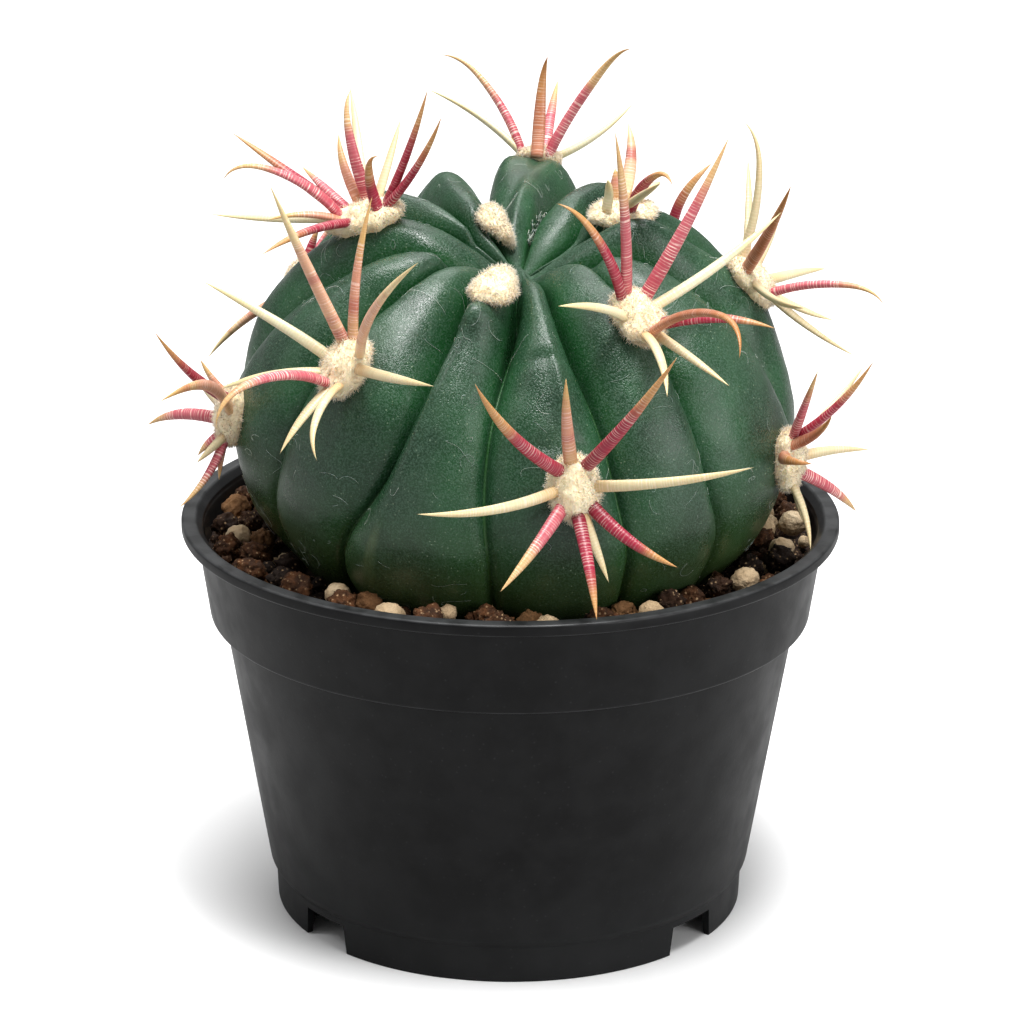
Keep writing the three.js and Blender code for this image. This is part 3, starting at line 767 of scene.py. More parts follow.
# each areole is a pad of wool with horns that leave it round the clock
spineForm = {
    "halfWidth": 1.2, "flatness": 0.7, "rootOut": 3, "rootStretch": 1.35, "rootRise": 1.6,
    "rootDepth": 1.5, "rootCap": 0.2, "taper": 2.6, "sides": 14, "step": 0.7, "ripple": 0.03,
    "ripples": 7, "firstSeed": 500,
    # a spine with at least this bend is a hook: it turns evenly at first and sharply near its tip
    "hookBend": 45, "hookEven": 0.75, "hookTip": 0.9, "hookStart": 0.6,
    # colours follow one another along the spine, moved by a noise and by chance
    "driftNoise": (180, 2), "driftShare": 0.3, "driftChance": 0.2,
    "middleFade": (0.2, 0.55), "tipFade": (0.72, 1.0),
    # noises along a spine: waves for each millimetre, spread from spine to spine, and a shift
    "blotchWaves": (0.2, 60, 3), "pitchWaves": (0.7, 40, 0), "strengthWaves": (0.45, 90, 7),
    "blotchColour": (158, 46, 58), "blotchNoise": (260, 2), "blotchUneven": 0.35,
    "blotchEdge": (0.7, 0.86), "blotchFade": (0.7, 0.88, 1.0, 0.0),
    # pale rings with a darker line between them, one for each pitch along the spine
    "ringPitch": 0.58, "pitchUneven": 2.6, "wobbleNoise": (560, 2), "wobble": 0.45,
    "ringColour": (250, 226, 212), "ringEdge": (0.25, 1.0), "ringFade": (0.62, 0.9, 1.0, 0.1),
    "brokenNoise": (480, 2), "broken": (0.38, 0.58, 0.2, 1.0), "strength": (0.34, 0.6, 0.4, 1.0),
    "lineEdge": (-0.4, -1.0), "lineShare": 0.16, "ringRelief": (0.16, 0.05),
    "roughness": 0.36, "glow": 0.12, "glowColour": (0.6, 0.25, 0.2), "glowDepth": 1,
}
# colours of the horn at its root, middle and tip, and greys for how strongly it takes pale rings and
# red blotches
spineTones = {
    "crimson": ((132, 22, 44), (156, 36, 60), (190, 142, 86), (196, 166, 166), (120, 120, 120)),
    "pink": ((174, 64, 80), (190, 92, 102), (206, 168, 112), (228, 228, 228), (150, 150, 150)),
    "peach": ((200, 160, 112), (204, 142, 116), (200, 160, 100), (190, 190, 190), (190, 190, 190)),
    "cream": ((204, 172, 122), (216, 202, 160), (218, 198, 150), (170, 170, 170), (0, 0, 0)),
    "brown": ((186, 122, 92), (168, 104, 72), (176, 122, 68), (160, 160, 160), (90, 90, 90)),
    "blush": ((226, 196, 152), (216, 164, 132), (222, 200, 148), (206, 206, 206), (225, 225, 225)),
    "white": ((214, 200, 152), (222, 214, 176), (222, 206, 154), (180, 180, 180), (0, 0, 0)),
}

heavy, slim = 1, 0.85
# clock angle round the areole, lift, length, bend towards the stem, sideways sweep, weight, tone
spineRows = {
    2: [(117, 43, 13, 17, -37, heavy, "blush"), (-92, 34, 17, 72, 10, heavy, "crimson"),
        (-80, 38, 18, 2, 0, slim, "cream"), (-19, 80, 5, 34, -7, slim, "white"),
        (90, 76, 4, 10, 0, slim, "peach"), (165, 8, 5, 5, 0, slim, "cream")],
    3: [(167, 35, 26, 80, -5, heavy, "pink"), (-163, 45, 26, 5, 0, heavy, "crimson"),
        (-143, 35, 14, 5, 5, slim, "pink"), (-110, 50, 15, 35, 35, slim, "peach"),
        (-84, 65, 22, 50, 10, heavy, "pink"), (-101, 35, 26, 15, -10, slim, "white"),
        (-70, 35, 17, 5, -10, slim, "cream"), (25, 60, 14, 65, -5, heavy, "crimson"),
        (-15, 50, 24, -10, 0, heavy, "crimson"), (0, 40, 23, -20, 0, heavy, "crimson"),
        (180, 15, 26, -10, 0, slim, "white"), (150, 25, 14, 40, 0, slim, "peach"),
        (114, 15, 22, 25, 0, heavy, "crimson")],
    4: [(-29, 30, 23, 50, -10, heavy, "crimson"), (-8, 55, 32, 15, 0, heavy, "pink"),
        (52, 50, 32, 10, -10, heavy, "pink"), (82, 25, 29, 0, -15, slim, "white"),
        (-82, 25, 19, 30, 0, slim, "white"), (-172, 45, 34, 70, 50, heavy, "brown"),
        (135, 30, 21, 35, 15, heavy, "crimson"), (-151, 20, 19, 35, 10, slim, "cream"),
        (172, 20, 18, 5, 0, slim, "cream")],
    5: [(78, 45, 26, 48, -8, heavy, "pink"), (81, 31, 22, 26, -1, slim, "white"),
        (-13, 68, 18, 46, -32, heavy, "brown"), (-182, 66, 20, 8, 2, heavy, "pink"),
        (-60, 40, 27, 49, 23, heavy, "pink"), (-112, 42, 19, -26, -4, slim, "white"),
        (145, 5, 7, 10, 0, slim, "cream"), (180, 10, 18, 10, 0, slim, "cream")],
    6: [(-39, 50, 32, 5, 0, heavy, "blush"), (-12, 25, 26, 20, 5, slim, "peach"),
        (43, 40, 33, 35, 0, heavy, "blush"), (-92, 25, 27, 10, -10, slim, "white"),
        (-177, 45, 30, 85, -25, heavy, "pink"), (80, 25, 29, 5, -5, slim, "cream"),
        (169, 20, 16, 25, -5, slim, "cream"), (138, 25, 21, 55, -10, slim, "cream"),
        (-134, 20, 19, 30, -15, slim, "cream")],
    7: [(15, 40, 27, 45, 0, heavy, "cream"), (58, 30, 21, 10, 0, slim, "cream"),
        (-43, 50, 25, 5, 10, heavy, "brown"), (90, 30, 17, 15, 0, slim, "cream"),
        (-145, 45, 23, 50, 0, heavy, "pink"), (-86, 20, 28, -15, 5, slim, "cream"),
        (-161, 15, 19, -15, 0, slim, "cream"), (174, 20, 14, -15, -5, slim, "cream"),
        (130, 20, 20, 15, 0, slim, "cream")],
    8: [(130, 19, 20, 39, -1, heavy, "blush"), (-35, 10, 7, 15, 0, heavy, "crimson"),
        (-60, 12, 10, 10, 0, slim, "pink"), (-85, 18, 15, 15, 0, slim, "cream"),
        (-125, 25, 20, 20, 0, heavy, "peach"), (-165, 25, 18, 20, 0, slim, "cream"),
        (165, 12, 12, 10, 0, slim, "cream")],
    9: [(-35, 30, 29, 0, 30, heavy, "crimson"), (1, 25, 18, 5, 10, heavy, "peach"),
        (40, 35, 30, 20, -5, heavy, "crimson"), (91, 20, 28, 20, -10, slim, "cream"),
        (-84, 20, 28, 25, 20, slim, "cream"), (-126, 25, 20, 15, 5, heavy, "pink"),
        (-174, 34, 20, 5, 8, heavy, "crimson"), (170, 8, 13, 5, 0, slim, "cream"),
        (136, 25, 19, 15, -30, heavy, "crimson")],
    10: [(-20, 35, 21, -60, -60, heavy, "crimson"), (40, 12, 11, 15, 0, heavy, "pink"),
         (4, 10, 7, 10, 0, slim, "cream"), (-100, 12, 13, 15, 0, slim, "cream"),
         (88, 10, 13, 15, 5, slim, "cream"), (-130, 25, 20, 15, 0, heavy, "peach"),
         (180, 45, 32, 30, 0, heavy, "pink"), (135, 25, 20, 15, 0, heavy, "crimson"),
         (-165, 15, 15, 5, 0, slim, "cream")],
    11: [(19, 41, 26, 13, -23, heavy, "crimson"), (-43, 36, 8, 22, 0, slim, "peach"),
         (55, 38, 28, -25, 86, heavy, "peach"), (-130, 37, 18, 22, -48, heavy, "pink"),
         (-173, 31, 7, 25, -9, slim, "pink"), (127, 46, 8, 0, 0, heavy, "cream"),
         (137, 34, 16, -33, -11, heavy, "pink"), (148, 6, 8, 10, 0, slim, "peach"),
         (-95, 15, 12, 10, 0, slim, "cream")],
    12: [(-5, 20, 17, 0, 0, heavy, "pink"), (-25, 40, 15, 35, 0, heavy, "brown"),
         (12, 40, 22, 25, 0, heavy, "crimson"), (106, 40, 15, -15, 20, slim, "cream"),
         (-62, 50, 14, -110, -5, heavy, "brown"), (143, 25, 18, 30, 10, heavy, "pink"),
         (-149, 25, 13, 30, 0, slim, "cream"), (178, 10, 9, 0, -5, slim, "cream"),
         (65, 20, 20, 10, 0, slim, "cream")],
}


def areoleFrame(order):
    # place on the crest, and the directions to the crown, to the next rib and outwards
    a = areoleForm
    rib = (a["firstRib"] + a["ribsPerAreole"] * order) % stemForm["ribs"]
    polar = a["polars"][order]
    place = stemPoint(rib, 0, polar)
    up = unit(stemPoint(rib, 0, polar - a["halfSpan"]) - stemPoint(rib, 0, polar + a["halfSpan"]))
    side = stemPoint(rib, a["halfAcross"], polar) - stemPoint(rib, -a["halfAcross"], polar)
    side = unit(side - up * np.dot(side, up))
    return place, up, side, np.cross(side, up)


def bendAt(along, bend):
    # how far a spine has turned from its mean direction, as a share of its bend
    f = spineForm
    if abs(bend) < f["hookBend"]:
        return along - 0.5
    tip = max(0, (along - f["hookStart"]) / (1 - f["hookStart"])) ** 2
    return f["hookEven"] * (along - 0.5) + f["hookTip"] * (tip - (1 - f["hookStart"]) / 3)


def spineMesh(areole, row, first, draw):
    # one horn: points, faces, and each point's share of its length, distance from its root, tone
    # and chance
    place, up, side, out = areole
    clock, lift, length, bend, sweep, weight, tone = row
    f = spineForm
    spread = math.radians(clock)
    away = turned(up, side, spread)
    beside = turned(side, up, -spread)
    point = place + out * f["rootRise"] + up * f["rootOut"] * f["rootStretch"] * math.cos(spread)
    point = point + side * f["rootOut"] * math.sin(spread)
    rings = math.ceil((length + f["rootDepth"]) / f["step"])
    step = (length + f["rootDepth"]) / rings
    phase = draw.uniform(0, math.pi)
    points, along, reach = [], [], []
    for ring in range(rings):
        distance = ring * step - f["rootDepth"]
        share = max(distance, 0) / length
        rise = math.radians(lift - bend * bendAt(share, bend))
        turn = math.radians(sweep * (share - 0.5))
        heading = turned(turned(away, beside, turn), out, rise)
        if ring == 0:
            point = point - heading * f["rootDepth"]
            points.append(point - heading * f["rootCap"])
            along.append(0)
            reach.append(-f["rootDepth"])
        wide = turned(beside, away, -turn)
        thick = np.cross(wide, heading)
        ripple = 1 + f["ripple"] * math.sin(f["ripples"] * share + phase)
        radius = f["halfWidth"] * weight * (1 - share ** f["taper"]) * ripple
        for corner in range(f["sides"]):
            angle = 2 * math.pi * corner / f["sides"]
            across = wide * math.cos(angle) * radius + thick * math.sin(angle) * radius * f["flatness"]
            points.append(point + across)
            along.append(share)
            reach.append(distance)
        point = point + heading * step
    points.append(point)
    along.append(1)
    reach.append(length)
    faces = [tuple(reversed(face)) for face in loftFaces(rings, f["sides"], first)]
    toneValue = (list(spineTones).index(tone) + 0.5) / len(spineTones)
    return points, faces, along, reach, [toneValue] * len(points), [draw.random()] * len(points)


def spineMaterial():
    f = spineForm
    material, tree, shader = startMaterial("ringedHorn")
    place = objectPlace(tree)
    along = attributeValue(tree, "along")
    reach = attributeValue(tree, "reach")
    tone = attributeValue(tree, "tone")
    chance = attributeValue(tree, "chance")
    roots, middles, tips, ringing, blotching = [
        pickColour(tree, tone, colours) for colours in zip(*spineTones.values())]

    def waves(perLength, perSpine, shift):
        # a noise along each spine that differs from spine to spine
        where = joined(tree, times(tree, reach, perLength), times(tree, chance, perSpine), shift)
        return noiseValue(tree, where, 1.0, 1.0)

    # root, middle and tip colours
    uneven = times(tree, noiseValue(tree, place, *f["driftNoise"]), f["driftShare"])
    drifted = plus(tree, plus(tree, along, uneven), times(tree, chance, f["driftChance"]))
    colour = mixColours(tree, remap(tree, drifted, *f["middleFade"]), roots, middles)
    colour = mixColours(tree, remap(tree, drifted, *f["tipFade"]), colour, tips)

    # broad blotches, fewer towards the tip
    patchy = times(tree, noiseValue(tree, place, *f["blotchNoise"]), f["blotchUneven"])
    banded = plus(tree, waves(*f["blotchWaves"]), patchy)
    blotch = times(tree, remap(tree, banded, *f["blotchEdge"]), blotching)
    blotch = times(tree, blotch, remap(tree, along, *f["blotchFade"]))
    colour = mixColours(tree, blotch, colour, paint(*f["blotchColour"]))

    # rings at an uneven pitch, with a wobble round the spine
    spacing = times(tree, waves(*f["pitchWaves"]), f["pitchUneven"])
    wobble = times(tree, noiseValue(tree, place, *f["wobbleNoise"]), f["wobble"])
    turns = plus(tree, sums(tree, "DIVIDE", reach, f["ringPitch"]), plus(tree, spacing, wobble))
    wave = sums(tree, "SINE", times(tree, turns, 2 * math.pi))
    broken = remap(tree, noiseValue(tree, place, *f["brokenNoise"]), *f["broken"])
    stronger = remap(tree, waves(*f["strengthWaves"]), *f["strength"])
    paler = times(tree, remap(tree, wave, *f["ringEdge"]), times(tree, broken, stronger))
    paler = times(tree, times(tree, paler, ringing), remap(tree, along, *f["ringFade"]))
    colour = mixColours(tree, paler, colour, paint(*f["ringColour"]))
    darker = times(tree, remap(tree, wave, *f["lineEdge"]), f["lineShare"])
    feed(tree, shader.inputs["Base Color"], mixColours(tree, darker, colour, roots))

    shader.inputs["Roughness"].default_value = f["roughness"]
    shader.inputs["Subsurface Weight"].default_value = f["glow"]
    shader.inputs["Subsurface Radius"].default_value = f["glowColour"]
    shader.inputs["Subsurface Scale"].default_value = f["glowDepth"] * mm
    feed(tree, shader.inputs["Normal"], bump(tree, wave, *f["ringRelief"]))
    return material


def makeSpines(order, material):
    draw = random.Random(spineForm["firstSeed"] + order)
    areole = areoleFrame(order)
    points, faces, along, reach, tones, chances = [], [], [], [], [], []
    for row in spineRows[order]:
        made = spineMesh(areole, row, len(points), draw)
        for whole, part in zip((points, faces, along, reach, tones, chances), made):
            whole.extend(part)
    node = f"spine_cluster_{order}"
    spines = makePiece(f"spines_{order}", points, faces, material, [node])
    for label, values in (("along", along), ("reach", reach), ("tone", tones), ("chance", chances)):
        addValues(spines, label, values)


woolForm = {
    "length": 5.9, "width": 4.5, "height": 2.7, "seat": 0.8, "rows": 52, "columns": 84,
    "lump": 0.6, "lumpSize": 2.4, "fleck": 0.16, "fleckSize": 0.5, "firstSeed": 900,
    # tufts stand on the pad down to a height given as a share of its own
    "tufts": 2400, "tuftLowest": -0.4, "tuftLength": (0.4, 1.2), "tuftWidth": 0.05, "tuftBends": 2,
    "tuftSides": 3, "tuftThinning": 0.6, "tuftStray": 0.55,
    "colour": (253, 238, 206), "shade": (248, 217, 172), "driftScale": 420, "drift": 0.4,
    "shadeEdge": (0.5, 0.3), "roughness": 0.95, "shine": 0.1,
    "glow": 0.6, "glowColour": (1.0, 0.8, 0.6), "glowDepth": 1.2,
    "fluffNoise": (3200, 3, 0.7), "fluffRelief": (0.6, 0.2),
}
# some pads are squeezed by the ribs round them: side, along and out, as shares of the plain size,
# how much wider they grow away from the crown, and how far they are shifted to the side and outwards
plainPad = (1, 1, 1, 0, 0, 0)
padShapes = {
    0: (0.48, 0.82, 0.4, 0.8, -2.5, -1.5),
    1: (0.82, 0.88, 0.8, 0.5, 0.5, -0.3),
    2: (0.95, 1.1, 0.7, 0, 0, -2.3),
    3: (1.0, 1.25, 1.0, 0, 0, 0),
    5: (0.85, 0.62, 0.8, 0, 0, 0),
}


def woolMaterial(name, main, shade):
    w = woolForm
    material, tree, shader = startMaterial(name)
    place = objectPlace(tree)
    drift = useGroup(tree, slowDrift, place, Scale=w["driftScale"], Low=0.0, High=w["drift"])["Value"]
    colour = mixColours(tree, drift, paint(*main), paint(*shade))
    # painted shade: the pad's lower side takes the shade colour through its depth
    shaded = remap(tree, attributeValue(tree, "depth"), *w["shadeEdge"])
    feed(tree, shader.inputs["Base Color"], mixColours(tree, shaded, colour, paint(*shade)))
    shader.inputs["Roughness"].default_value = w["roughness"]
    shader.inputs["Specular IOR Level"].default_value = w["shine"]
    shader.inputs["Subsurface Weight"].default_value = w["glow"]
    shader.inputs["Subsurface Radius"].default_value = w["glowColour"]
    shader.inputs["Subsurface Scale"].default_value = w["glowDepth"] * mm
    fluff = noiseValue(tree, place, *w["fluffNoise"])
    feed(tree, shader.inputs["Normal"], bump(tree, fluff, *w["fluffRelief"]))
    return material


def makeWool(order, material):
    w = woolForm
    place, up, side, out = areoleFrame(order)
    draw = random.Random(w["firstSeed"] + order)
    seed = Vector((order * 7.3, order * 3.1, 0))  # moves each pad to other lumps
    wide, long, high, flare, aside, lifted = padShapes.get(order, plainPad)
    middle = place + out * (w["seat"] + lifted) + side * aside
    size = np.array((w["width"] * wide, w["length"] * long, w["height"] * high))

    def padPoint(turnShare, dropShare):
        angle, drop = 2 * math.pi * turnShare, math.pi * dropShare
        sphere = np.array([math.sin(drop) * math.cos(angle), math.sin(drop) * math.sin(angle),
                           math.cos(drop)])
        local = sphere * size
        lump = w["lump"] * noise.noise(Vector(local) / w["lumpSize"] + seed)
        fleck = w["fleck"] * noise.noise(Vector(local) / w["fleckSize"] + seed)
        local = local + sphere * (lump + fleck)
        local[0] *= 1 - flare * sphere[1]
        return middle + side * local[0] + up * local[1] + out * local[2], sphere

    points, depth = [padPoint(0, 0)[0]], [1]
    for row in range(w["rows"]):
        drop = (row + 0.5) / w["rows"]
        for column in range(w["columns"]):
            points.append(padPoint(column / w["columns"], drop)[0])
            depth.append(1 - drop)
    points.append(padPoint(0, 1)[0])
    depth.append(0)
    faces = loftFaces(w["rows"], w["columns"])
    bends, sides = w["tuftBends"], w["tuftSides"]
    for _ in range(w["tufts"]):
        turnShare, dropShare = draw.random(), math.acos(draw.uniform(w["tuftLowest"], 1)) / math.pi
        root, sphere = padPoint(turnShare, dropShare)
        direction = unit(side * sphere[0] + up * sphere[1] + out * sphere[2])
        start = len(points)
        reach = draw.uniform(*w["tuftLength"])
        across = unit(np.cross(direction, [draw.gauss(0, 1) for _ in range(3)]))
        for bend in range(bends):
            width = w["tuftWidth"] * (1 - w["tuftThinning"] * bend / bends)
            points += threadRing(root, across, np.cross(direction, across), width, sides)
            stray = np.array([draw.gauss(0, w["tuftStray"]) for _ in range(3)])
            direction = unit(direction + stray)
            root = root + direction * reach / bends
        tip = len(points)
        points.append(root)
        depth += [1 - dropShare] * (bends * sides + 1)
        faces += sideFaces(start, bends, sides)
        faces.append(tuple(range(start + sides - 1, start - 1, -1)))
        for corner in range(sides):
            faces.append((tip - sides + corner, tip - sides + (corner + 1) % sides, tip))
    node = f"spine_cluster_{order}" if order in spineRows else f"crown_wool_{order}"
    wool = makePiece(f"wool_{order}", points, faces, material, [node])
    addValues(wool, "depth", depth)


# fibres that the wool shed on the skin
fibreForm = {
    "count": 500, "width": 0.03, "lift": 0.04, "length": (1.4, 8.0), "steps": 16, "seed": 31,
    "polars": (20, 116), "across": (-0.85, 0.85), "acrossLimit": 0.97,
    "curl": 0.3, "curlKept": 0.92, "curlChange": 0.3,
    "colour": (176, 188, 172), "shade": (140, 156, 138),
}
# wisps of wool in the fold beside the crown
foldWisps = {
    "count": 260, "rib": 8, "across": -0.93, "spread": 0.03, "polars": (9, 30),
    "stray": 0.45, "rise": 0.5, "curl": 0.2, "tipRise": 0.1,
}


def strand(line, width, points, faces):
    # a three sided thread along a line of points
    start = len(points)
    aslant = (0.3, 0.5, 0.8)  # a direction that no thread follows
    for order, point in enumerate(line):
        ahead = unit(line[min(order + 1, len(line) - 1)] - line[max(order - 1, 0)])
        across = unit(np.cross(ahead, aslant))
        points += threadRing(point, across, np.cross(ahead, across), width)
    end = len(points)
    faces += sideFaces(start, len(line), 3)
    faces.append((start + 2, start + 1, start))
    faces.append((end - 3, end - 2, end - 1))


def makeFibres(material):
    f = fibreForm
    draw = random.Random(f["seed"])
    points, faces = [], []
    for _ in range(f["count"]):
        rib = draw.randrange(stemForm["ribs"])
        across, polar = draw.uniform(*f["across"]), draw.uniform(*f["polars"])
        heading, curl = draw.uniform(0, 2 * math.pi), draw.gauss(0, f["curl"])
        step = draw.uniform(*f["length"]) / f["steps"]
        line = []
        for _ in range(f["steps"]):
            line.append(stemPoint(rib, across, polar, f["lift"], fine=True))
            curl = f["curlKept"] * curl + draw.gauss(0, f["curlChange"] * f["curl"])
            heading += curl
            ribHalf = math.pi / stemForm["ribs"] * stemForm["radius"] * math.sin(math.radians(polar))
            across += step * math.cos(heading) / ribHalf
            across = min(max(across, -f["acrossLimit"]), f["acrossLimit"])
            polar += math.degrees(step * math.sin(heading) / stemForm["radius"])
        strand(line, f["width"], points, faces)
    w = foldWisps
    for _ in range(w["count"]):
        across = w["across"] + draw.gauss(0, w["spread"])
        root = stemPoint(w["rib"], across, draw.uniform(*w["polars"]), fine=True)
        stray = np.array([draw.gauss(0, w["stray"]) for _ in range(3)]) + (0, 0, w["rise"])
        tip = root + stray + (draw.gauss(0, w["curl"]), draw.gauss(0, w["curl"]), w["tipRise"])
        strand([root, root + stray / 2, tip], woolForm["tuftWidth"], points, faces)
    fibres = makePiece("shedFibres", points, faces, material, ["crown_wool_0"])
    addValues(fibres, "depth", [1] * len(points))


def makeAreoles():
    horn, felt = spineMaterial(), woolMaterial("creamWool", woolForm["colour"], woolForm["shade"])
    for order in range(stemForm["ribs"]):
        makeWool(order, felt)
        if order in spineRows:
            makeSpines(order, horn)
    makeFibres(woolMaterial("shedWool", fibreForm["colour"], fibreForm["shade"]))
    print("areoles made:", stemForm["ribs"])


# soil: a bed up to the pot's collar, with loose grains on top
soilForm = {
    "top": 69.6, "gap": 0.3, "sides": 200, "rings": 40, "lump": 0.9, "lumpSize": 2.4,
    "bedDrop": 2, "middleDrop": 3, "bedTone": 0.1,
    # where grains settle, and how close to one another, to the stem and to the wall
    "grainInner": 36, "grainOuter": 55.3, "wallGap": 0.1, "stemGap": 0.1, "stemShare": 0.85,
    "nearest": 0.9, "seed": 12, "paleShare": 0.16, "tanShare": 0.12, "placedHeight": 71.0,
    "layers": [  # middle height, spread of it, tries, smallest and largest radius
        (67.0, 0.4, 2600, 1.9, 2.7), (70.4, 0.6, 3600, 2.3, 3.1), (69.6, 0.6, 1600, 1.0, 1.7),
    ],
    # a grain is squashed two ways, and its relief has so many waves with such a strength
    "squash": ((0.8, 1.05), (0.78, 1.0)), "shapeSeed": 77,
    "broad": (1.3, 0.3), "knobs": (3.2, 0.26), "pits": (6.0, 0.14), "fine": (12.0, 0.1),
    # large grains on top are finer meshes, and deep ones take darker colours as painted shade
    "upperHeight": 69, "upperRadius": 1.85, "deepLayer": 68.4, "deepShadeShare": 0.3,
}
gritFinish = {
    "driftScale": 420, "drift": 0.8, "speckScale": 1150, "speckShare": 0.75,
    "roughness": 0.75, "shine": 0.25, "roughNoise": (1500, 4, 0.7), "roughRelief": (1.0, 0.5),
}
gritKinds = {  # material, dark and light colour, colour and cover of its specks, how crumbly it is
    "dark": ("bakedClayGrit", (26, 15, 8), (104, 64, 34), (222, 184, 140), 0.34, 1.0),
    "tan": ("tanGrit", (96, 64, 36), (158, 118, 78), (56, 36, 22), 0.26, 0.7),
    "pale": ("pumiceGrit", (186, 158, 122), (226, 208, 176), (104, 72, 46), 0.2, 0.42),
}
# grains that stand out in the photo: kind, compass, distance from the pot's axis, radius
placedGrains = [
    ("pale", -60, 43.6, 2.5), ("pale", -40, 46.8, 2.4), ("pale", -17.8, 45, 2.3),
    ("pale", -13.4, 46.6, 1.7), ("pale", 29.8, 44.6, 2.6), ("pale", 48, 45.6, 2.1),
    ("pale", 56.4, 49.9, 2.5), ("pale", 77.3, 50.3, 2.6), ("pale", 94, 52, 2.6),
    ("tan", -43, 42.6, 2.4), ("tan", -101, 51.6, 2.8), ("tan", -80.6, 45.5, 2.4),
    ("dark", -71.4, 48.3, 2.8), ("dark", -49, 49.8, 2.8), ("dark", -28, 44, 2.9),
    ("dark", 0, 44.6, 2.6), ("dark", 13, 44.6, 2.6), ("dark", -90, 52, 2.8),
    ("dark", 66, 47, 2.7), ("dark", 40, 46.5, 2.6),
]


def gritMaterial(name, dark, light, speck, cover):
    g = gritFinish
    material, tree, shader = startMaterial(name)
    place = objectPlace(tree)
    drift = useGroup(tree, slowDrift, place, Scale=g["driftScale"], Low=0.0, High=g["drift"])["Value"]
    # the chance attribute picks each grain's tone; it is lower, so darker, for deep grains as painted
    # shade
    base = mixColours(tree, attributeValue(tree, "chance"), paint(*dark), paint(*light))
    colour = mixColours(tree, drift, base, paint(*dark))
    specks = useGroup(tree, fineSpeckle, place, Scale=g["speckScale"], Cover=cover)
    colour = mixColours(tree, times(tree, specks["Mask"], g["speckShare"]), colour, paint(*speck))
    feed(tree, shader.inputs["Base Color"], colour)
    shader.inputs["Roughness"].default_value = g["roughness"]
    shader.inputs["Specular IOR Level"].default_value = g["shine"]
    rough = noiseValue(tree, place, *g["roughNoise"])
    feed(tree, shader.inputs["Normal"], bump(tree, rough, *g["roughRelief"]))
    return material


def unitBall(level):
    # points and triangles of a ball, from an octahedron split level times
    corners = (1, 0, 0), (-1, 0, 0), (0, 1, 0), (0, -1, 0), (0, 0, 1), (0, 0, -1)
    points = [Vector(corner) for corner in corners]
    faces = [(0, 2, 4), (2, 1, 4), (1, 3, 4), (3, 0, 4), (2, 0, 5), (1, 2, 5), (3, 1, 5), (0, 3, 5)]
    for _ in range(level):
        middles = {}

        def middle(a, b):
            key = (min(a, b), max(a, b))
            if key not in middles:
                middles[key] = len(points)
                points.append((points[a] + points[b]).normalized())
            return middles[key]

        faces = [small for a, b, c in faces for small in (
            (a, middle(a, b), middle(a, c)), (b, middle(b, c), middle(a, b)),
            (c, middle(a, c), middle(b, c)), (middle(a, b), middle(b, c), middle(a, c)))]
    return points, faces


def grainMesh(ball, centre, size, crumbly, draw, first):
    s = soilForm
    points, faces = ball
    anyTurn = (0, 6.28)
    shift = Vector([draw.uniform(0, 90) for _ in range(3)])  # moves each grain to another relief
    squash = Vector((1, *(draw.uniform(*limits) for limits in s["squash"])))
    turn = (Matrix.Rotation(draw.uniform(*anyTurn), 3, "Z")
            @ Matrix.Rotation(draw.uniform(*anyTurn), 3, "X"))

    def relief(point, kind):
        waves, strength = s[kind]
        return strength * noise.noise(point * waves + shift)

    made = []
    for point in points:
        rough = (relief(point, "broad") + relief(point, "knobs")
                 - abs(relief(point, "pits")) + relief(point, "fine"))
        made.append(tuple(turn @ (point * squash * (size * (1 + crumbly * rough))) + centre))
    # deep grains take darker colours: painted shade in the gaps between the grains
    chance = draw.random() * (s["deepShadeShare"] if centre.z < s["deepLayer"] else 1)
    return made, [tuple(corner + first for corner in face) for face in faces], [chance] * len(made)


def placeGrains(stemTree):
    # grains settle a little apart, clear of the stem and the pot's wall
    s = soilForm
    draw = random.Random(s["seed"])
    centres = np.empty((0, 3))
    sizes = np.empty(0)
    placed = []

    def settle(kind, compass, distance, height, size):
        nonlocal centres, sizes
        centre = Vector((*atCompass(distance, math.radians(compass)), height))
        nearest, normal, _, gap = stemTree.find_nearest(centre)
        if (centre - nearest).dot(normal) < 0 or gap < size * s["stemShare"] + s["stemGap"]:
            return
        apart = np.linalg.norm(centres - np.array(centre), axis=1)
        if len(placed) and np.any(apart < (sizes + size) * s["nearest"]):
            return
        centres = np.vstack([centres, centre])
        sizes = np.append(sizes, size)
        placed.append((kind, centre, size))

    for kind, compass, distance, size in placedGrains:
        settle(kind, compass, distance, s["placedHeight"], size)
    for middle, spread, tries, smallest, largest in s["layers"]:
        for _ in range(tries):
            size = draw.uniform(smallest, largest)
            farthest = s["grainOuter"] - size - s["wallGap"]
            distance = math.sqrt(draw.uniform(s["grainInner"] ** 2, farthest ** 2))
            chance = draw.random()
            kind = "dark"
            if chance < s["paleShare"]:
                kind = "pale"
            elif chance < s["paleShare"] + s["tanShare"]:
                kind = "tan"
            compass = draw.uniform(-180, 180)
            settle(kind, compass, distance, middle + draw.uniform(-spread, spread), size)
    return placed


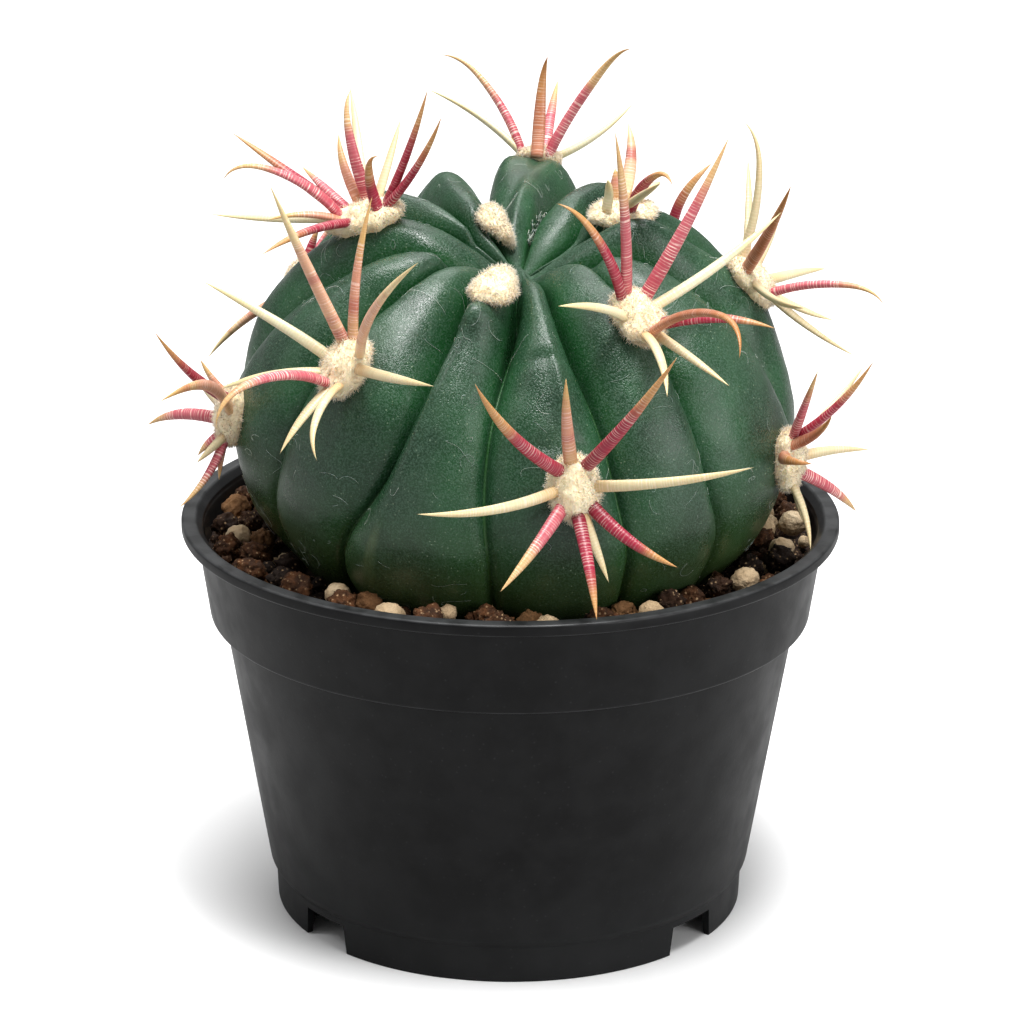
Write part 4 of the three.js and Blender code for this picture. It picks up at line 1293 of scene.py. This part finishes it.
def makeBed(material):
    # the filling below the grains: uneven on top, and closed down to the pot's floor
    s, p = soilForm, potShape
    inset = p["wall"] + s["gap"]
    climb = (s["top"] - p["collarFoot"]) / (p["rimTop"] - p["lipHeight"] - p["collarFoot"])
    edge = between(p["collarFootRadius"], p["collarTopRadius"], climb) - inset
    loops = [(edge * (ring + 1) / s["rings"], s["top"] - s["bedDrop"]) for ring in range(s["rings"])]
    loops += [(p["collarFootRadius"] - inset, p["innerStepTop"]),
              (p["wallTopRadius"] - inset, p["collarFoot"] - p["wall"]),
              (potWallRadius(p["floorTop"]) - inset, p["floorTop"] + s["gap"])]
    points = [(0, 0, s["top"] - s["middleDrop"])]
    for order, (radius, height) in enumerate(loops):
        for side in range(s["sides"]):
            x, y = atCompass(radius, 2 * math.pi * side / s["sides"])
            uneven = noise.noise(Vector((x, y, 0)) / s["lumpSize"]) if order < s["rings"] else 0
            points.append((x, y, height + s["lump"] * uneven))
    points.append((0, 0, p["floorTop"] + s["gap"]))
    faces = loftFaces(len(loops), s["sides"])
    bed = makePiece("soilBed", points, faces, material, ["soil"])
    addValues(bed, "chance", [s["bedTone"]] * len(points))


def makeSoil(stem):
    s = soilForm
    corners = [vertex.co / mm for vertex in stem.data.vertices]
    stemTree = BVHTree.FromPolygons(corners, [polygon.vertices for polygon in stem.data.polygons])
    grits = {kind: gritMaterial(*look[:-1]) for kind, look in gritKinds.items()}
    makeBed(grits["dark"])
    balls = {"upper": unitBall(4), "lower": unitBall(3)}
    placed = placeGrains(stemTree)
    draw = random.Random(s["shapeSeed"])
    for kind, material in grits.items():
        crumbly = gritKinds[kind][-1]
        for level, ball in balls.items():
            points, faces, chances = [], [], []
            for grainKind, centre, size in placed:
                upper = centre.z > s["upperHeight"] and size > s["upperRadius"]
                if grainKind != kind or upper != (level == "upper"):
                    continue
                made = grainMesh(ball, centre, size, crumbly, draw, len(points))
                for whole, part in zip((points, faces, chances), made):
                    whole.extend(part)
            if points:
                grains = makePiece(f"{kind}Grains.{level}", points, faces, material, ["soil"])
                addValues(grains, "chance", chances)
                print(grains.name, len(grains.data.polygons), "faces")
    print("soil made:", len(placed), "grains")


# studio: the photograph's camera, a pale paper ground and soft lamps
cameraSetup = {
    "place": (0.29, -740.4, 329.0), "pitch": 19.0, "roll": 0.295, "lens": 150.68, "sensor": 36.0,
    "clipEnd": 50000,
}
studio = {
    "floorHalf": 4000, "floorColour": (248, 248, 248), "bounceColour": (166, 166, 166),
    "floorRoughness": 0.9, "floorShine": 0.1,
    "skyColour": (255, 255, 255), "skyStrength": 0.24, "lampAim": (0, 0, 80),
    "lamps": [  # name, place, size, watts
        ("overheadSoftbox", (20, -150, 1400), 700, 19),
        ("keySoftbox", (170, -380, 1300), 320, 9),
        ("backdropSoftbox", (0, 900, 1300), 1200, 11),
        ("highLeftSoftbox", (-950, -100, 1250), 420, 3),
        ("rightSoftbox", (985, -770, 330), 1000, 10.5),
        ("leftSoftbox", (-1200, -260, 450), 1000, 1.35),
    ],
}


def makeCamera():
    c = cameraSetup
    data = bpy.data.cameras.new("studioCamera")
    data.sensor_width = c["sensor"]
    data.lens = c["lens"]
    data.clip_end = c["clipEnd"] * mm
    camera = bpy.data.objects.new("studioCamera", data)
    tilt = Matrix.Rotation(math.radians(90 - c["pitch"]), 4, "X")
    roll = Matrix.Rotation(math.radians(c["roll"]), 4, "Z")
    camera.matrix_world = Matrix.Translation(Vector(c["place"]) * mm) @ (tilt @ roll)
    bpy.context.collection.objects.link(camera)
    bpy.context.scene.camera = camera


def makeLamps():
    target = Vector(studio["lampAim"]) * mm
    for name, place, size, watts in studio["lamps"]:
        data = bpy.data.lights.new(name, "AREA")
        data.shape = "DISK"
        data.size = size * mm
        data.energy = watts
        lamp = bpy.data.objects.new(name, data)
        lamp.location = Vector(place) * mm
        lamp.rotation_euler = (target - lamp.location).to_track_quat("-Z", "Y").to_euler()
        bpy.context.collection.objects.link(lamp)


def makeSky():
    world = bpy.data.worlds.new("studioSky")
    world.use_nodes = True
    tree = world.node_tree
    background = tree.nodes["Background"]
    background.inputs["Color"].default_value = paint(*studio["skyColour"])
    seen = tree.nodes.new("ShaderNodeLightPath")
    strength = remap(tree, seen.outputs["Is Camera Ray"], 0.0, 1.0, studio["skyStrength"], 1.0)
    feed(tree, background.inputs["Strength"], strength)
    bpy.context.scene.world = world


def makeFloor():
    reach = studio["floorHalf"] * mm
    mesh = bpy.data.meshes.new("studioFloor")
    corners = [(-reach, -reach, 0), (reach, -reach, 0), (reach, reach, 0), (-reach, reach, 0)]
    mesh.from_pydata(corners, [], [(0, 1, 2, 3)])
    material, tree, shader = startMaterial("palePaper")
    # the paper throws less light up than it shows, so that the pot stays black
    seen = tree.nodes.new("ShaderNodeLightPath").outputs["Is Camera Ray"]
    shown = mixColours(tree, seen, paint(*studio["bounceColour"]), paint(*studio["floorColour"]))
    feed(tree, shader.inputs["Base Color"], shown)
    shader.inputs["Roughness"].default_value = studio["floorRoughness"]
    shader.inputs["Specular IOR Level"].default_value = studio["floorShine"]
    mesh.materials.append(material)
    floor = bpy.data.objects.new("studioFloor", mesh)
    bpy.context.collection.objects.link(floor)


makeCamera()
makeLamps()
makeSky()
makeFloor()
print("studio made:", len(studio["lamps"]), "lamps")
bpy.context.scene.view_settings.view_transform = "Standard"
makePot()
stem = makeStem()
makeAreoles()
makeSoil(stem)
